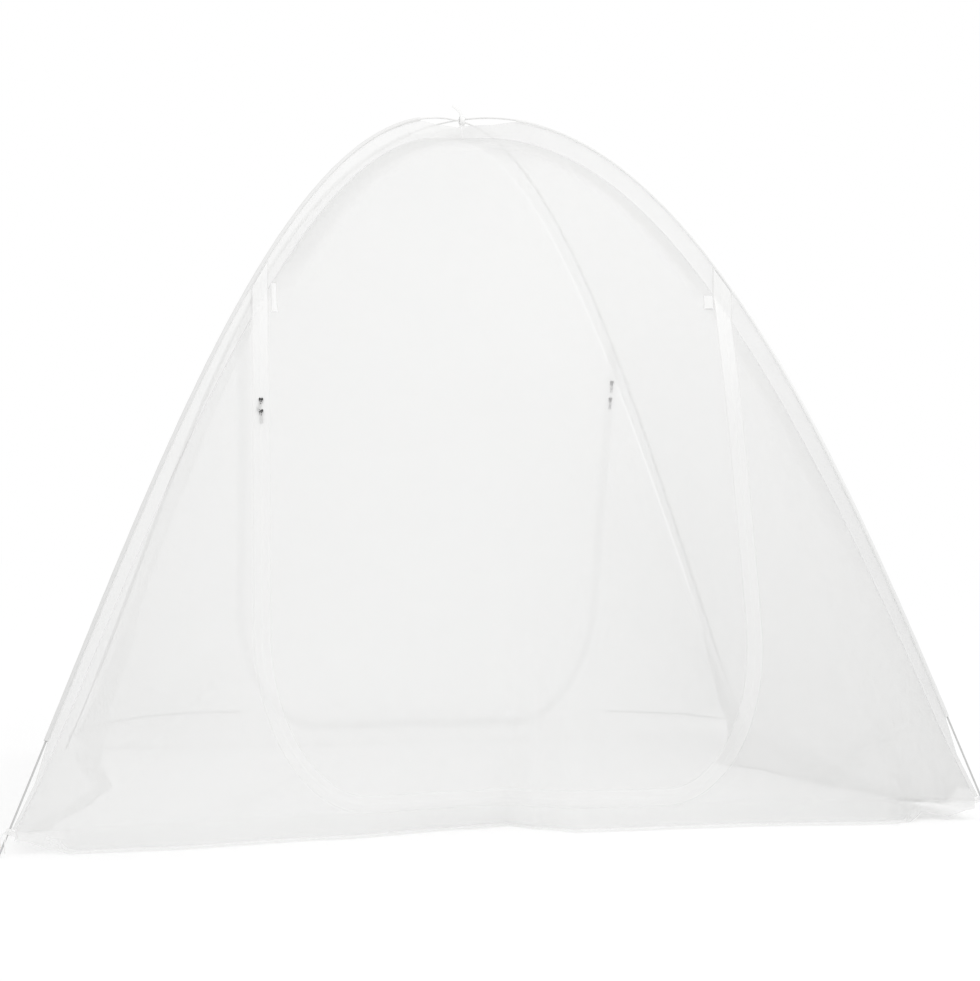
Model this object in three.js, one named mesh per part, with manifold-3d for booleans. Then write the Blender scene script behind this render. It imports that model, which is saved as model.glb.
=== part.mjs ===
// Pop-up dome mosquito net. Two crossed spring wires stand on four feet and carry a white net canopy,
// which hangs from cloth sleeves on the wires and is tied to them at the crown and at the feet.
// Units are millimetres. +X is the width, +Y runs from the front to the back, +Z is up, and the
// origin lies on the floor below the crossing of the wires.

import * as THREE from 'three';
import { mergeVertices } from 'three/addons/utils/BufferGeometryUtils.js';
import Module from 'manifold-3d';

const wasm = await Module();
wasm.setup();

// Driving dimensions
const BASE_WIDTH = 2000;
const BASE_DEPTH = 1500;
const CROWN_HEIGHT = 1625;
const WIRE_DIAMETER = 4;
const WIRE_CROSSING_GAP = 0.8;
const NET_THICKNESS = 1.5;
const RIBBON_THICKNESS = 1.2;
const PIECE_GAP = 0.4;

// Sleeves: two cloth layers sewn round the wire and down to the canopy seam
const SLEEVE_THICKNESS = 2;
const CASING_BORE_RADIUS = 3;
const CASING_RADIUS = 4.4;
const CASING_OVERLAP = 0.5;
const SLEEVE_AXIS_CLEARANCE = 2.2;

// Doors: a zipped arch is cut into the front and the back, each a little to one side
const DOOR_BOTTOM = 58;
const DOOR_CORNER_ACROSS = 215;
const DOOR_CORNER_TALL = 345;
const ZIP_TAPE_WIDTH = 36;
const DOORS = {
  front: { facing: -1, middle: 13, halfWidth: 521 },
  back: { facing: 1, middle: -20, halfWidth: 502 },
};

// Hem: the last stretch of each panel, flat where it lies on the floor
const HEM_MARGIN = 42;
const HEM_LIFT_TO_HANG = 14;
const HEM_FOLD_HEIGHT = 140;
const HEM_END_FADE = 0.06;
const SAG_POWER = 1.4;
const CANOPY_TOP_DROP = 4;
const CANOPY_CROWN_REACH = 6;

// Mesh steps
const LEG_STEPS = 28;
const ROUND_SIDES = 8;
const PANEL_ROWS = 15;
const ROW_CROWDING = 1.5;
const DOOR_CORNER_STEPS = 8;
const HEM_FLAT_ROWS = 2;
const MERGE_DISTANCE = 1e-3;
const TABLE_SLACK = 1e-6;

// One row for each leg of the two wires: its corner, and the shape of its bow, which runs level past
// the crown and comes down straight to the foot at an angle to the floor.
const LEGS = {
  front_left: { x: -1, y: -1, wire: 'a', crownPull: 550, footPull: 805, footAngle: 64 },
  back_right: { x: 1, y: 1, wire: 'a', crownPull: 455, footPull: 750, footAngle: 58 },
  front_right: { x: 1, y: -1, wire: 'b', crownPull: 605, footPull: 780, footAngle: 67.5 },
  back_left: { x: -1, y: 1, wire: 'b', crownPull: 635, footPull: 790, footAngle: 61 },
};

// Sleeve widths by share of the leg's length: the seam and the sleeve's free edge, measured inwards
// from the wire. Between the two cased rows the free edge wraps the wire.
const CASED_FROM = 0.07;
const CASED_TO = 0.893;
const SEAM_END = 0.974;
const CASED = CASING_BORE_RADIUS + CASING_OVERLAP;
const SLEEVE_SECTIONS = [
  { along: 0, seam: 50, edge: 17 },
  { along: 0.04, seam: 49, edge: 17 },
  { along: CASED_FROM, seam: 48, edge: CASED },
  { along: 0.45, seam: 42, edge: CASED },
  { along: CASED_TO, seam: 24, edge: CASED },
  { along: 0.93, seam: 21, edge: 12 },
  { along: SEAM_END, seam: 13, edge: 5 },
];

// Hems, a row for each fold: the place along the hem from its middle, how far the edge is drawn in
// from the line between the wires' feet, and how high it hangs over the floor.
const FRONT_HEM = [
  { at: -965, drawnIn: 20, lift: 48 },
  { at: -900, drawnIn: 10, lift: 8 },
  { at: -860, drawnIn: 4, lift: 0 },
  { at: -700, drawnIn: 6, lift: 0 },
  { at: -380, drawnIn: 50, lift: 0 },
  { at: -90, drawnIn: 108, lift: 0 },
  { at: -10, drawnIn: 126, lift: 0 },
  { at: 50, drawnIn: 78, lift: 0 },
  { at: 120, drawnIn: 32, lift: 0 },
  { at: 450, drawnIn: 32, lift: 0 },
  { at: 780, drawnIn: 4, lift: 0 },
  { at: 870, drawnIn: 46, lift: 0 },
  { at: 920, drawnIn: 50, lift: 10 },
  { at: 965, drawnIn: 20, lift: 48 },
];
const RIGHT_HEM = [
  { at: -715, drawnIn: 25, lift: 48 },
  { at: -590, drawnIn: 8, lift: 8 },
  { at: -450, drawnIn: 40, lift: 0 },
  { at: -200, drawnIn: 128, lift: 0 },
  { at: -40, drawnIn: 176, lift: 0 },
  { at: 133, drawnIn: 250, lift: 0 },
  { at: 420, drawnIn: 120, lift: 0 },
  { at: 620, drawnIn: 38, lift: 8 },
  { at: 715, drawnIn: 25, lift: 44 },
];
const BACK_HEM = [
  { at: -965, drawnIn: 20, lift: 44 },
  { at: -925, drawnIn: 22, lift: 8 },
  { at: -870, drawnIn: 24, lift: 0 },
  { at: -540, drawnIn: 40, lift: 0 },
  { at: -300, drawnIn: 60, lift: 0 },
  { at: 0, drawnIn: 40, lift: 0 },
  { at: 300, drawnIn: 62, lift: 0 },
  { at: 540, drawnIn: 44, lift: 0 },
  { at: 870, drawnIn: 24, lift: 0 },
  { at: 925, drawnIn: 22, lift: 8 },
  { at: 965, drawnIn: 20, lift: 52 },
];
const LEFT_HEM = [
  { at: -715, drawnIn: 25, lift: 52 },
  { at: -640, drawnIn: 30, lift: 8 },
  { at: -560, drawnIn: 38, lift: 0 },
  { at: -400, drawnIn: 62, lift: 0 },
  { at: -30, drawnIn: 122, lift: 0 },
  { at: 140, drawnIn: 94, lift: 0 },
  { at: 460, drawnIn: 30, lift: 0 },
  { at: 600, drawnIn: 14, lift: 10 },
  { at: 715, drawnIn: 25, lift: 48 },
];

// Panels of the canopy between neighbouring legs, seen from outside, with the depth to which the
// slack net sags at the floor
const PANELS = {
  front: { from: 'front_left', to: 'front_right', out: [0, -1], sag: 70, hem: FRONT_HEM, columns: 24 },
  right: { from: 'front_right', to: 'back_right', out: [1, 0], sag: 190, hem: RIGHT_HEM, columns: 16 },
  back: { from: 'back_right', to: 'back_left', out: [0, 1], sag: 55, hem: BACK_HEM, columns: 18 },
  left: { from: 'back_left', to: 'front_left', out: [-1, 0], sag: 50, hem: LEFT_HEM, columns: 16 },
};

// Ribbons that tie the rolled-up front door, hanging on the net under the sleeves
const DOOR_TIES = [
  { name: 'door_tie_left', at: -478, top: 1149, length: 66, width: 12 },
  { name: 'door_tie_right', at: 505, top: 1145, length: 32, width: 20 },
];
const DOOR_TIE_STANDOFF = 3.2;
const DOOR_TIE_STEPS = 5;

// Zip sliders, seen face on: two plates hold the tape between them and are joined by a post through
// it, and a bridge on one plate carries the pull. The outline is given for the right half.
const SLIDER_OUTLINE = [
  { across: 2.6, up: -6.5 },
  { across: 4.5, up: 1 },
  { across: 4.5, up: 4.9 },
  { across: 3, up: 6.5 },
  { across: 1.3, up: 6.5 },
  { across: 0, up: 4.3 },
];
const SLIDER_TAPE_GAP = 0.6;
const SLIDER_PLATE = 1.3;
const SLIDER_POST = { wide: 2.2, tall: 3, up: 2 };
const BRIDGE = { wide: 1.8, half: 3.2, leg: 1.2, rise: 3.6, bar: 1, foot: 0.3 };

// Pulls: flat tabs with an eye round the bridge's lower leg, a slot and a ring at the end, measured
// from that leg
const PULL_THICKNESS = 1;
const PULL_STANDOFF = 0.9;
const PULL_TAB = { half: 3.2, top: 2.5, bottom: -16.5 };
const PULL_EYE = { half: 1.5, top: 1.3, bottom: -1.3 };
const PULL_SLOT = { half: 1.2, top: -3.5, bottom: -11.5 };
const PULL_RING = { up: -19.5, radius: 4, bore: 2.2 };
const PULL_CURVE_STEPS = 6;

// Two sliders to a zip: the side of the door, the height, whether the pull hangs inside the net, and
// the angle by which it is pushed aside
const SLIDERS = [
  { name: 'front_upper', zip: 'front', side: -1, height: 883, inside: false, swing: -16 },
  { name: 'front_lower', zip: 'front', side: -1, height: 858, inside: false, swing: 0 },
  { name: 'back_upper', zip: 'back', side: 1, height: 1016, inside: true, swing: 0 },
  { name: 'back_lower', zip: 'back', side: 1, height: 971, inside: true, swing: 0 },
];

// Ties at the feet and at the crown, as distances along the wire and ribbon lengths
const FOOT_TIE_BAND = 12;
const FOOT_TIE_STRAP = 15;
const FOOT_TIE_TAILS = [
  { side: 1, reach: 11, drop: 38 },
  { side: -1, reach: 15, drop: 28 },
];
const FOOT_TAIL_WIDTH = 3;
const FOOT_TAIL_BEND = [
  { out: 0, down: 0 },
  { out: 0.6, down: 0.1 },
  { out: 1, down: 0.5 },
  { out: 1, down: 1 },
];
const CROWN_TIE_BORE = 8.6;
const CROWN_TIE_WALL = 1.6;
const CROWN_TIE_WIDTH = 13;
const CROWN_TAIL = { across: -24, rise: 26, width: 9 };
const CROWN_TAIL_BEND = [
  { out: 0, up: 0 },
  { out: 0.2, up: 0.45 },
  { out: 0.6, up: 0.85 },
  { out: 1, up: 1 },
];

// Finishes
const WHITE_COATED_WIRE = { color: 0xe6e6e4, roughness: 0.4, metalness: 0.3 };
const WHITE_NET = { color: 0xf4f4f3, roughness: 0.9, metalness: 0 };
const WHITE_TAPE = { color: 0xfafaf9, roughness: 0.8, metalness: 0 };
const BLACK_ENAMEL = { color: 0x1c1c1c, roughness: 0.4, metalness: 0.2 };
const GREY_METAL = { color: 0xb4b4b2, roughness: 0.35, metalness: 0.7 };

const net = new THREE.Group();
const HALF_DIAGONAL = Math.hypot(BASE_WIDTH, BASE_DEPTH) / 2;
const TOP_OF_CANOPY = CROWN_HEIGHT - SLEEVE_SECTIONS[0].seam;

function addPiece(name, geometry, finish, parent = net) {
  const piece = new THREE.Mesh(geometry, new THREE.MeshStandardMaterial(finish));
  piece.name = name;
  parent.add(piece);
  return piece;
}

// Straight-line reading of a table by one of its columns
function readTable(rows, key, column, value) {
  const next = rows.findIndex((row) => row[key] >= value);
  if (next === 0) return rows[0][column];
  if (next < 0) return rows.at(-1)[column];
  const [low, high] = [rows[next - 1], rows[next]];
  const share = (value - low[key]) / (high[key] - low[key]);
  return THREE.MathUtils.lerp(low[column], high[column], share);
}

// The same reading with soft crests and troughs at the rows, for folds
function readFolds(rows, column, at) {
  const next = Math.max(1, rows.findIndex((row) => row.at >= at - TABLE_SLACK));
  const [low, high] = [rows[next - 1], rows[next]];
  const share = THREE.MathUtils.smoothstep(at, low.at, high.at);
  return THREE.MathUtils.lerp(low[column], high[column], share);
}

// A closed body from points and triangles, with its faces turned outwards: the signed volume of an
// inside-out body is negative.
function closedBody(points, triangles) {
  let volume = 0;
  const cross = new THREE.Vector3();
  for (const [a, b, c] of triangles) {
    volume += points[a].dot(cross.crossVectors(points[b], points[c]));
  }
  const turned = volume > 0 ? triangles : triangles.map(([a, b, c]) => [a, c, b]);
  const body = new THREE.BufferGeometry().setFromPoints(points);
  body.setIndex(turned.flat());
  body.computeVertexNormals();
  return body;
}

// Joins and cuts
function toSolid(geometry) {
  const bare = geometry.clone();
  bare.deleteAttribute('normal');
  bare.deleteAttribute('uv');
  const merged = mergeVertices(bare, MERGE_DISTANCE);
  const vertProperties = new Float32Array(merged.attributes.position.array);
  const triVerts = new Uint32Array(merged.index.array);
  return new wasm.Manifold(new wasm.Mesh({ numProp: 3, vertProperties, triVerts }));
}

function toGeometry(solid) {
  const { vertProperties, triVerts } = solid.getMesh();
  const geometry = new THREE.BufferGeometry();
  geometry.setAttribute('position', new THREE.BufferAttribute(new Float32Array(vertProperties), 3));
  geometry.setIndex(new THREE.BufferAttribute(new Uint32Array(triVerts), 1));
  geometry.computeVertexNormals();
  return geometry;
}

function joined(geometries) {
  return toGeometry(geometries.map(toSolid).reduce((whole, solid) => whole.add(solid)));
}

// A section carried along stations in one upright plane. A station has a point, the wire's direction
// and the inward normal, and a section point is (inwards, sideways). A second loop makes a bore.
// A station on the floor has its section slid along the wire until it lies flat.
function sweep(stations, section, bore = null) {
  const points = [];
  const triangles = [];
  const loops = bore ? [section, bore] : [section];
  const starts = loops.map((loop) => {
    const start = points.length;
    for (const { point, along, inwards, onFloor } of stations) {
      for (const [depth, aside] of loop) {
        const place = point.clone().addScaledVector(inwards, depth);
        if (onFloor) place.addScaledVector(along, -place.y / along.y);
        points.push(new THREE.Vector3(place.x, place.y, aside));
      }
    }
    return start;
  });
  loops.forEach((loop, which) => {
    const sides = loop.length;
    const at = (i, k) => starts[which] + i * sides + (k % sides);
    for (let i = 0; i + 1 < stations.length; i++) {
      for (let k = 0; k < sides; k++) {
        const corners = [at(i, k), at(i, k + 1), at(i + 1, k + 1), at(i + 1, k)];
        const [a, b, c, d] = which === 0 ? corners : corners.toReversed();
        triangles.push([a, b, c], [a, c, d]);
      }
    }
  });
  const last = stations.length - 1;
  const sides = section.length;
  for (const [i, turn] of [[0, false], [last, true]]) {
    const cap = [];
    for (let k = 0; k < sides; k++) {
      const outer = [starts[0] + i * sides + k, starts[0] + i * sides + ((k + 1) % sides)];
      if (bore) {
        const inner = outer.map((vertex) => vertex - starts[0] + starts[1]);
        cap.push([outer[0], inner[1], outer[1]], [outer[0], inner[0], inner[1]]);
      } else if (k > 0 && k + 1 < sides) {
        cap.push([starts[0] + i * sides, outer[1], outer[0]]);
      }
    }
    triangles.push(...(turn ? cap.map(([a, b, c]) => [a, c, b]) : cap));
  }
  return closedBody(points, triangles);
}

function roundSection(radius) {
  return Array.from({ length: ROUND_SIDES }, (_, k) => {
    const angle = (2 * Math.PI * (k + 0.5)) / ROUND_SIDES;
    return [radius * Math.cos(angle), radius * Math.sin(angle)];
  });
}

// A sheet of even thickness on a grid of its middle points, closed round its rim
function clothSheet(grid, thickness) {
  const rows = grid.length;
  const columns = grid[0].length;
  const near = (i, j) => grid[Math.min(Math.max(i, 0), rows - 1)][Math.min(Math.max(j, 0), columns - 1)];
  const faces = [[], []];
  for (let i = 0; i < rows; i++) {
    for (let j = 0; j < columns; j++) {
      const down = near(i + 1, j).clone().sub(near(i - 1, j));
      const across = near(i, j + 1).clone().sub(near(i, j - 1));
      const normal = across.cross(down).normalize();
      faces[0].push(grid[i][j].clone().addScaledVector(normal, thickness / 2));
      faces[1].push(grid[i][j].clone().addScaledVector(normal, -thickness / 2));
    }
  }
  const top = (i, j) => i * columns + j;
  const under = (i, j) => rows * columns + top(i, j);
  const triangles = [];
  const quad = (a, b, c, d) => triangles.push([a, b, c], [a, c, d]);
  for (let i = 0; i + 1 < rows; i++) {
    for (let j = 0; j + 1 < columns; j++) {
      quad(top(i, j), top(i, j + 1), top(i + 1, j + 1), top(i + 1, j));
      quad(under(i, j), under(i + 1, j), under(i + 1, j + 1), under(i, j + 1));
    }
    quad(top(i, 0), top(i + 1, 0), under(i + 1, 0), under(i, 0));
    quad(top(i + 1, columns - 1), top(i, columns - 1), under(i, columns - 1), under(i + 1, columns - 1));
  }
  for (let j = 0; j + 1 < columns; j++) {
    quad(top(0, j + 1), top(0, j), under(0, j), under(0, j + 1));
    quad(top(rows - 1, j), top(rows - 1, j + 1), under(rows - 1, j + 1), under(rows - 1, j));
  }
  return closedBody([...faces[0], ...faces[1]], triangles);
}

// The bow of one leg in its own plane: x is the reach from the crown's axis, y the height
function legBow(leg) {
  const stacking = (WIRE_DIAMETER + WIRE_CROSSING_GAP) / 2;
  const crown = CROWN_HEIGHT + (leg.wire === 'b' ? stacking : -stacking);
  const angle = THREE.MathUtils.degToRad(leg.footAngle);
  const foot = new THREE.Vector2(HALF_DIAGONAL, 0);
  const knee = new THREE.Vector2(-Math.cos(angle), Math.sin(angle)).multiplyScalar(leg.footPull).add(foot);
  const shoulder = new THREE.Vector2(leg.crownPull, crown);
  return new THREE.CubicBezierCurve(new THREE.Vector2(0, crown), shoulder, knee, foot);
}

function stationAt(bow, share) {
  const point = bow.getPointAt(share);
  const along = bow.getTangentAt(share);
  const inwards = new THREE.Vector2(along.y, -along.x);
  return { point, along, inwards, share };
}

function legStations(bow) {
  return Array.from({ length: LEG_STEPS + 1 }, (_, i) => {
    return { ...stationAt(bow, i / LEG_STEPS), onFloor: i === LEG_STEPS };
  });
}

// A point of the sleeve, a distance inwards from the wire and clear of the crown's axis
function sleevePoint({ point, inwards }, depth) {
  const place = point.clone().addScaledVector(inwards, depth);
  place.x = Math.max(place.x, SLEEVE_AXIS_CLEARANCE);
  return place;
}

for (const leg of Object.values(LEGS)) {
  leg.bow = legBow(leg);
  leg.stations = legStations(leg.bow);
  const cloth = leg.stations.filter(({ share }) => share < SEAM_END);
  leg.clothStations = [...cloth, stationAt(leg.bow, SEAM_END)];
  leg.heading = new THREE.Vector3(leg.x * BASE_WIDTH, leg.y * BASE_DEPTH, 0).normalize();
  leg.seam = leg.clothStations.map((station) => {
    const depth = readTable(SLEEVE_SECTIONS, 'along', 'seam', station.share);
    const { x: reach, y: height } = sleevePoint(station, depth);
    return { reach, height };
  });
  leg.seam.reverse();
}

// A group that stands a leg's plane upright on its diagonal
function uprightPlane(heading) {
  const up = new THREE.Vector3(0, 0, 1);
  const plane = new THREE.Group();
  plane.quaternion.setFromRotationMatrix(
    new THREE.Matrix4().makeBasis(heading, up, heading.clone().cross(up)),
  );
  net.add(plane);
  return plane;
}

// Spring wires: each runs from a front foot over the crown to the opposite back foot
function springWire(front, back) {
  const mirrored = front.stations.slice(1).map(({ point, along, inwards, onFloor }) => ({
    point: new THREE.Vector2(-point.x, point.y),
    along: new THREE.Vector2(along.x, -along.y),
    inwards: new THREE.Vector2(-inwards.x, inwards.y),
    onFloor,
  }));
  return sweep([...mirrored.reverse(), ...back.stations], roundSection(WIRE_DIAMETER / 2));
}

const wires = [
  ['frame_wire_a', LEGS.front_left, LEGS.back_right],
  ['frame_wire_b', LEGS.front_right, LEGS.back_left],
];
for (const [name, front, back] of wires) {
  addPiece(name, springWire(front, back), WHITE_COATED_WIRE, uprightPlane(back.heading));
}

// Sleeves: a flat fin in the leg's plane, from the canopy seam up to a casing round the wire
function sleeve(leg) {
  const isCased = ({ share }) => share >= CASED_FROM && share <= CASED_TO;
  const edge = leg.clothStations.map((station) => {
    const free = readTable(SLEEVE_SECTIONS, 'along', 'edge', station.share);
    return sleevePoint(station, isCased(station) ? CASED : free);
  });
  const seam = leg.seam.map(({ reach, height }) => new THREE.Vector2(reach, height));
  const outline = new THREE.Shape([...edge, ...seam]);
  const fin = new THREE.ExtrudeGeometry(outline, { depth: SLEEVE_THICKNESS, bevelEnabled: false });
  fin.translate(0, 0, -SLEEVE_THICKNESS / 2);
  const casing = sweep(
    leg.clothStations.filter(isCased),
    roundSection(CASING_RADIUS),
    roundSection(CASING_BORE_RADIUS),
  );
  return joined([fin, casing]);
}

for (const [name, leg] of Object.entries(LEGS)) {
  addPiece(`wire_sleeve_${name}`, sleeve(leg), WHITE_TAPE, uprightPlane(leg.heading));
}

// A place beside a leg's sleeve, on the side of the panel that is sewn to it there
function besideSleeve(leg, reach, height, towards) {
  const beside = SLEEVE_THICKNESS / 2 + PIECE_GAP + NET_THICKNESS / 2;
  const aside = new THREE.Vector3(0, 0, 1).cross(leg.heading);
  const side = Math.sign(aside.dot(towards));
  const place = leg.heading.clone().multiplyScalar(reach).addScaledVector(aside, side * beside);
  return place.setZ(height);
}

// Where a panel's edge lies at a height: on the leg's seam
function seamEdge(leg, height, towards) {
  return besideSleeve(leg, readTable(leg.seam, 'height', 'reach', height), height, towards);
}

// Where a panel's edge ends, at the crown
function crownEdge(leg, towards) {
  return besideSleeve(leg, CANOPY_CROWN_REACH, leg.seam.at(-1).height, towards);
}

// A canopy panel as a function of the place across it, from 0 to 1, and the height. The net is
// straight between the two seams but for its sag, which deepens downwards, and for the folds of the
// hem, which fade upwards.
function canopyPanel({ from, to, out, sag, hem, columns }) {
  const outward = new THREE.Vector3(...out, 0);
  const [first, last] = [LEGS[from], LEGS[to]];
  const hemAt = (share) => THREE.MathUtils.lerp(hem[0].at, hem.at(-1).at, share);
  const lift = (share) => readFolds(hem, 'lift', hemAt(share));
  const lying = (share) => 1 - THREE.MathUtils.smoothstep(lift(share), 0, HEM_LIFT_TO_HANG);
  const feet = HALF_DIAGONAL * Math.abs(first.heading.dot(outward));

  function place(share, height) {
    const [start, end] = [seamEdge(first, height, outward), seamEdge(last, height, outward)];
    const straight = start.lerp(end, share);
    const bottom = seamEdge(first, 0, outward).lerp(seamEdge(last, 0, outward), share).dot(outward);
    const smooth = sag * 4 * share * (1 - share);
    const edge = feet - readFolds(hem, 'drawnIn', hemAt(share));
    const folds = bottom - edge + HEM_MARGIN * lying(share) - smooth;
    const hang = Math.max(0, 1 - height / TOP_OF_CANOPY) ** SAG_POWER;
    const ends = THREE.MathUtils.smoothstep(Math.min(share, 1 - share), 0, HEM_END_FADE);
    const inset = smooth * hang + folds * ends * Math.exp(-height / HEM_FOLD_HEIGHT);
    return straight.addScaledVector(outward, -inset);
  }

  const topHeight = TOP_OF_CANOPY - CANOPY_TOP_DROP;
  const shares = Array.from({ length: columns + 1 }, (_, column) => column / columns);
  const crownRow = shares.map((share) => {
    return crownEdge(first, outward).lerp(crownEdge(last, outward), share);
  });
  const grid = [crownRow];
  for (let row = 0; row <= PANEL_ROWS + HEM_FLAT_ROWS; row++) {
    const points = [];
    for (const share of shares) {
      const bend = Math.max(NET_THICKNESS / 2, lift(share)) + HEM_MARGIN * (1 - lying(share));
      const climb = Math.cos((Math.PI / 2) * Math.min(1, row / PANEL_ROWS)) ** ROW_CROWDING;
      const past = Math.max(0, row - PANEL_ROWS) * (HEM_MARGIN / HEM_FLAT_ROWS);
      const height = THREE.MathUtils.lerp(bend, topHeight, climb) - past * (1 - lying(share));
      points.push(place(share, height).addScaledVector(outward, past * lying(share)));
    }
    grid.push(points);
  }
  return { place, outward, sheet: clothSheet(grid, NET_THICKNESS) };
}

const canopy = Object.fromEntries(
  Object.entries(PANELS).map(([name, panel]) => [name, canopyPanel(panel)]),
);
addPiece('left_net', canopy.left.sheet, WHITE_NET);
addPiece('right_net', canopy.right.sheet, WHITE_NET);

// Outline of a door seen face on, grown or shrunk by a margin: upright sides, rounded lower corners
function doorCutter({ facing, middle, halfWidth }, margin) {
  const half = halfWidth + margin;
  const bottom = DOOR_BOTTOM - margin;
  const [across, tall] = [DOOR_CORNER_ACROSS + margin, DOOR_CORNER_TALL + margin];
  const outline = new THREE.Shape();
  outline.moveTo(half, CROWN_HEIGHT);
  outline.lineTo(-half, CROWN_HEIGHT);
  outline.lineTo(-half, bottom + tall);
  outline.absellipse(across - half, bottom + tall, across, tall, Math.PI, 1.5 * Math.PI);
  outline.absellipse(half - across, bottom + tall, across, tall, 1.5 * Math.PI, 2 * Math.PI);
  outline.closePath();
  const cutter = new THREE.ExtrudeGeometry(outline, {
    depth: BASE_DEPTH,
    bevelEnabled: false,
    curveSegments: DOOR_CORNER_STEPS,
  });
  cutter.rotateX(Math.PI / 2);
  cutter.translate(middle, facing > 0 ? BASE_DEPTH : 0, 0);
  return toSolid(cutter);
}

// A group on the middle of a zip's tape, with x across it, y up along it and z towards the pull
function onZip({ zip, side, height, inside }) {
  const { facing, middle, halfWidth } = DOORS[zip];
  const start = new THREE.Vector3(middle + side * halfWidth, facing * BASE_DEPTH, height);
  const sight = new THREE.Raycaster(start, new THREE.Vector3(0, -facing, 0));
  const [{ point, face }] = sight.intersectObject(new THREE.Mesh(canopy[zip].sheet));
  const over = face.normal.clone().multiplyScalar(inside ? -1 : 1);
  const across = new THREE.Vector3(0, 0, 1).cross(over).normalize();
  const spot = new THREE.Group();
  spot.quaternion.setFromRotationMatrix(
    new THREE.Matrix4().makeBasis(across, over.clone().cross(across), over),
  );
  spot.position.copy(point).addScaledVector(face.normal, -NET_THICKNESS / 2);
  spot.updateMatrix();
  net.add(spot);
  return spot;
}

for (const slider of SLIDERS) {
  slider.spot = onZip(slider);
}

// The post that joins a slider's plates, grown by a margin
function sliderPost(margin, depth) {
  const { wide, tall, up } = SLIDER_POST;
  return new THREE.BoxGeometry(wide + 2 * margin, tall + 2 * margin, depth).translate(0, up, 0);
}

// Front and back: the panel is cut into a door, the zip tape round it and the net about them, and the
// tape is parted round the sliders' posts
for (const [name, door] of Object.entries(DOORS)) {
  const panel = toSolid(canopy[name].sheet);
  const half = ZIP_TAPE_WIDTH / 2;
  const within = (margin) => doorCutter(door, margin);
  const surround = panel.subtract(within(half + PIECE_GAP / 2));
  const band = panel.intersect(within(half - PIECE_GAP / 2)).subtract(within(PIECE_GAP / 2 - half));
  const tape = SLIDERS.filter(({ zip }) => zip === name).reduce((cloth, { spot }) => {
    const hole = sliderPost(PIECE_GAP, ZIP_TAPE_WIDTH).applyMatrix4(spot.matrix);
    return cloth.subtract(toSolid(hole));
  }, band);
  const inner = panel.intersect(within(-half - PIECE_GAP / 2));
  addPiece(`${name}_net`, toGeometry(surround), WHITE_NET);
  addPiece(`${name}_zip_tape`, toGeometry(tape), WHITE_TAPE);
  addPiece(`${name}_door`, toGeometry(inner), WHITE_NET);
}

// A flat piece of a shape, with its back face at a depth
function flatPiece(shape, thickness, depth) {
  const options = { depth: thickness, bevelEnabled: false, curveSegments: PULL_CURVE_STEPS };
  return new THREE.ExtrudeGeometry(shape, options).translate(0, 0, depth);
}

// An outline from half of it, mirrored
function mirroredShape(rows) {
  const right = rows.map(({ across, up }) => new THREE.Vector2(across, up));
  const left = right.filter(({ x }) => x > 0).map(({ x, y }) => new THREE.Vector2(-x, y));
  return new THREE.Shape([...right, ...left.reverse()]);
}

const PLATE_DEPTH = NET_THICKNESS / 2 + SLIDER_TAPE_GAP;

// Slider: two plates, the post between them and the bridge, a staple along the zip
function zipSlider() {
  const plates = [PLATE_DEPTH, -PLATE_DEPTH - SLIDER_PLATE].map((depth) => {
    return flatPiece(mirroredShape(SLIDER_OUTLINE), SLIDER_PLATE, depth);
  });
  const { wide, half, leg, rise, bar, foot } = BRIDGE;
  const staple = mirroredShape([
    { across: half, up: -foot },
    { across: half, up: rise },
  ]);
  const opening = mirroredShape([
    { across: half - leg, up: -2 * foot },
    { across: half - leg, up: rise - bar },
  ]);
  const upright = new THREE.Matrix4().makeBasis(
    new THREE.Vector3(0, 1, 0),
    new THREE.Vector3(0, 0, 1),
    new THREE.Vector3(1, 0, 0),
  );
  const [block, gap] = [[staple, wide], [opening, 2 * wide]].map(([shape, thickness]) => {
    const piece = flatPiece(shape, thickness, -thickness / 2).applyMatrix4(upright);
    return toSolid(piece.translate(0, 0, PLATE_DEPTH + SLIDER_PLATE));
  });
  const bridge = toGeometry(block.subtract(gap));
  return joined([...plates, sliderPost(0, 2 * PLATE_DEPTH + SLIDER_PLATE), bridge]);
}

// Pull: a tab that ends in a ring, with an eye and a slot cut through it
function zipPull() {
  const bar = ({ half, top, bottom }) => mirroredShape([
    { across: half, up: bottom },
    { across: half, up: top },
  ]);
  const disc = (radius) => new THREE.Shape().absarc(0, PULL_RING.up, radius, 0, 2 * Math.PI);
  const plate = (shape) => toSolid(flatPiece(shape, PULL_THICKNESS, 0));
  const cut = (shape) => toSolid(flatPiece(shape, 3 * PULL_THICKNESS, -PULL_THICKNESS));
  const tab = plate(bar(PULL_TAB)).add(plate(disc(PULL_RING.radius)));
  const holes = [bar(PULL_EYE), bar(PULL_SLOT), disc(PULL_RING.bore)].map(cut);
  return toGeometry(holes.reduce((pull, hole) => pull.subtract(hole), tab));
}

for (const { name, spot, swing } of SLIDERS) {
  addPiece(`zip_slider_${name}`, zipSlider(), BLACK_ENAMEL, spot);
  const pull = addPiece(`zip_pull_${name}`, zipPull(), GREY_METAL, spot);
  pull.position.set(0, BRIDGE.leg / 2 - BRIDGE.half, PLATE_DEPTH + SLIDER_PLATE + PULL_STANDOFF);
  pull.rotation.z = THREE.MathUtils.degToRad(swing);
}

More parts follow.
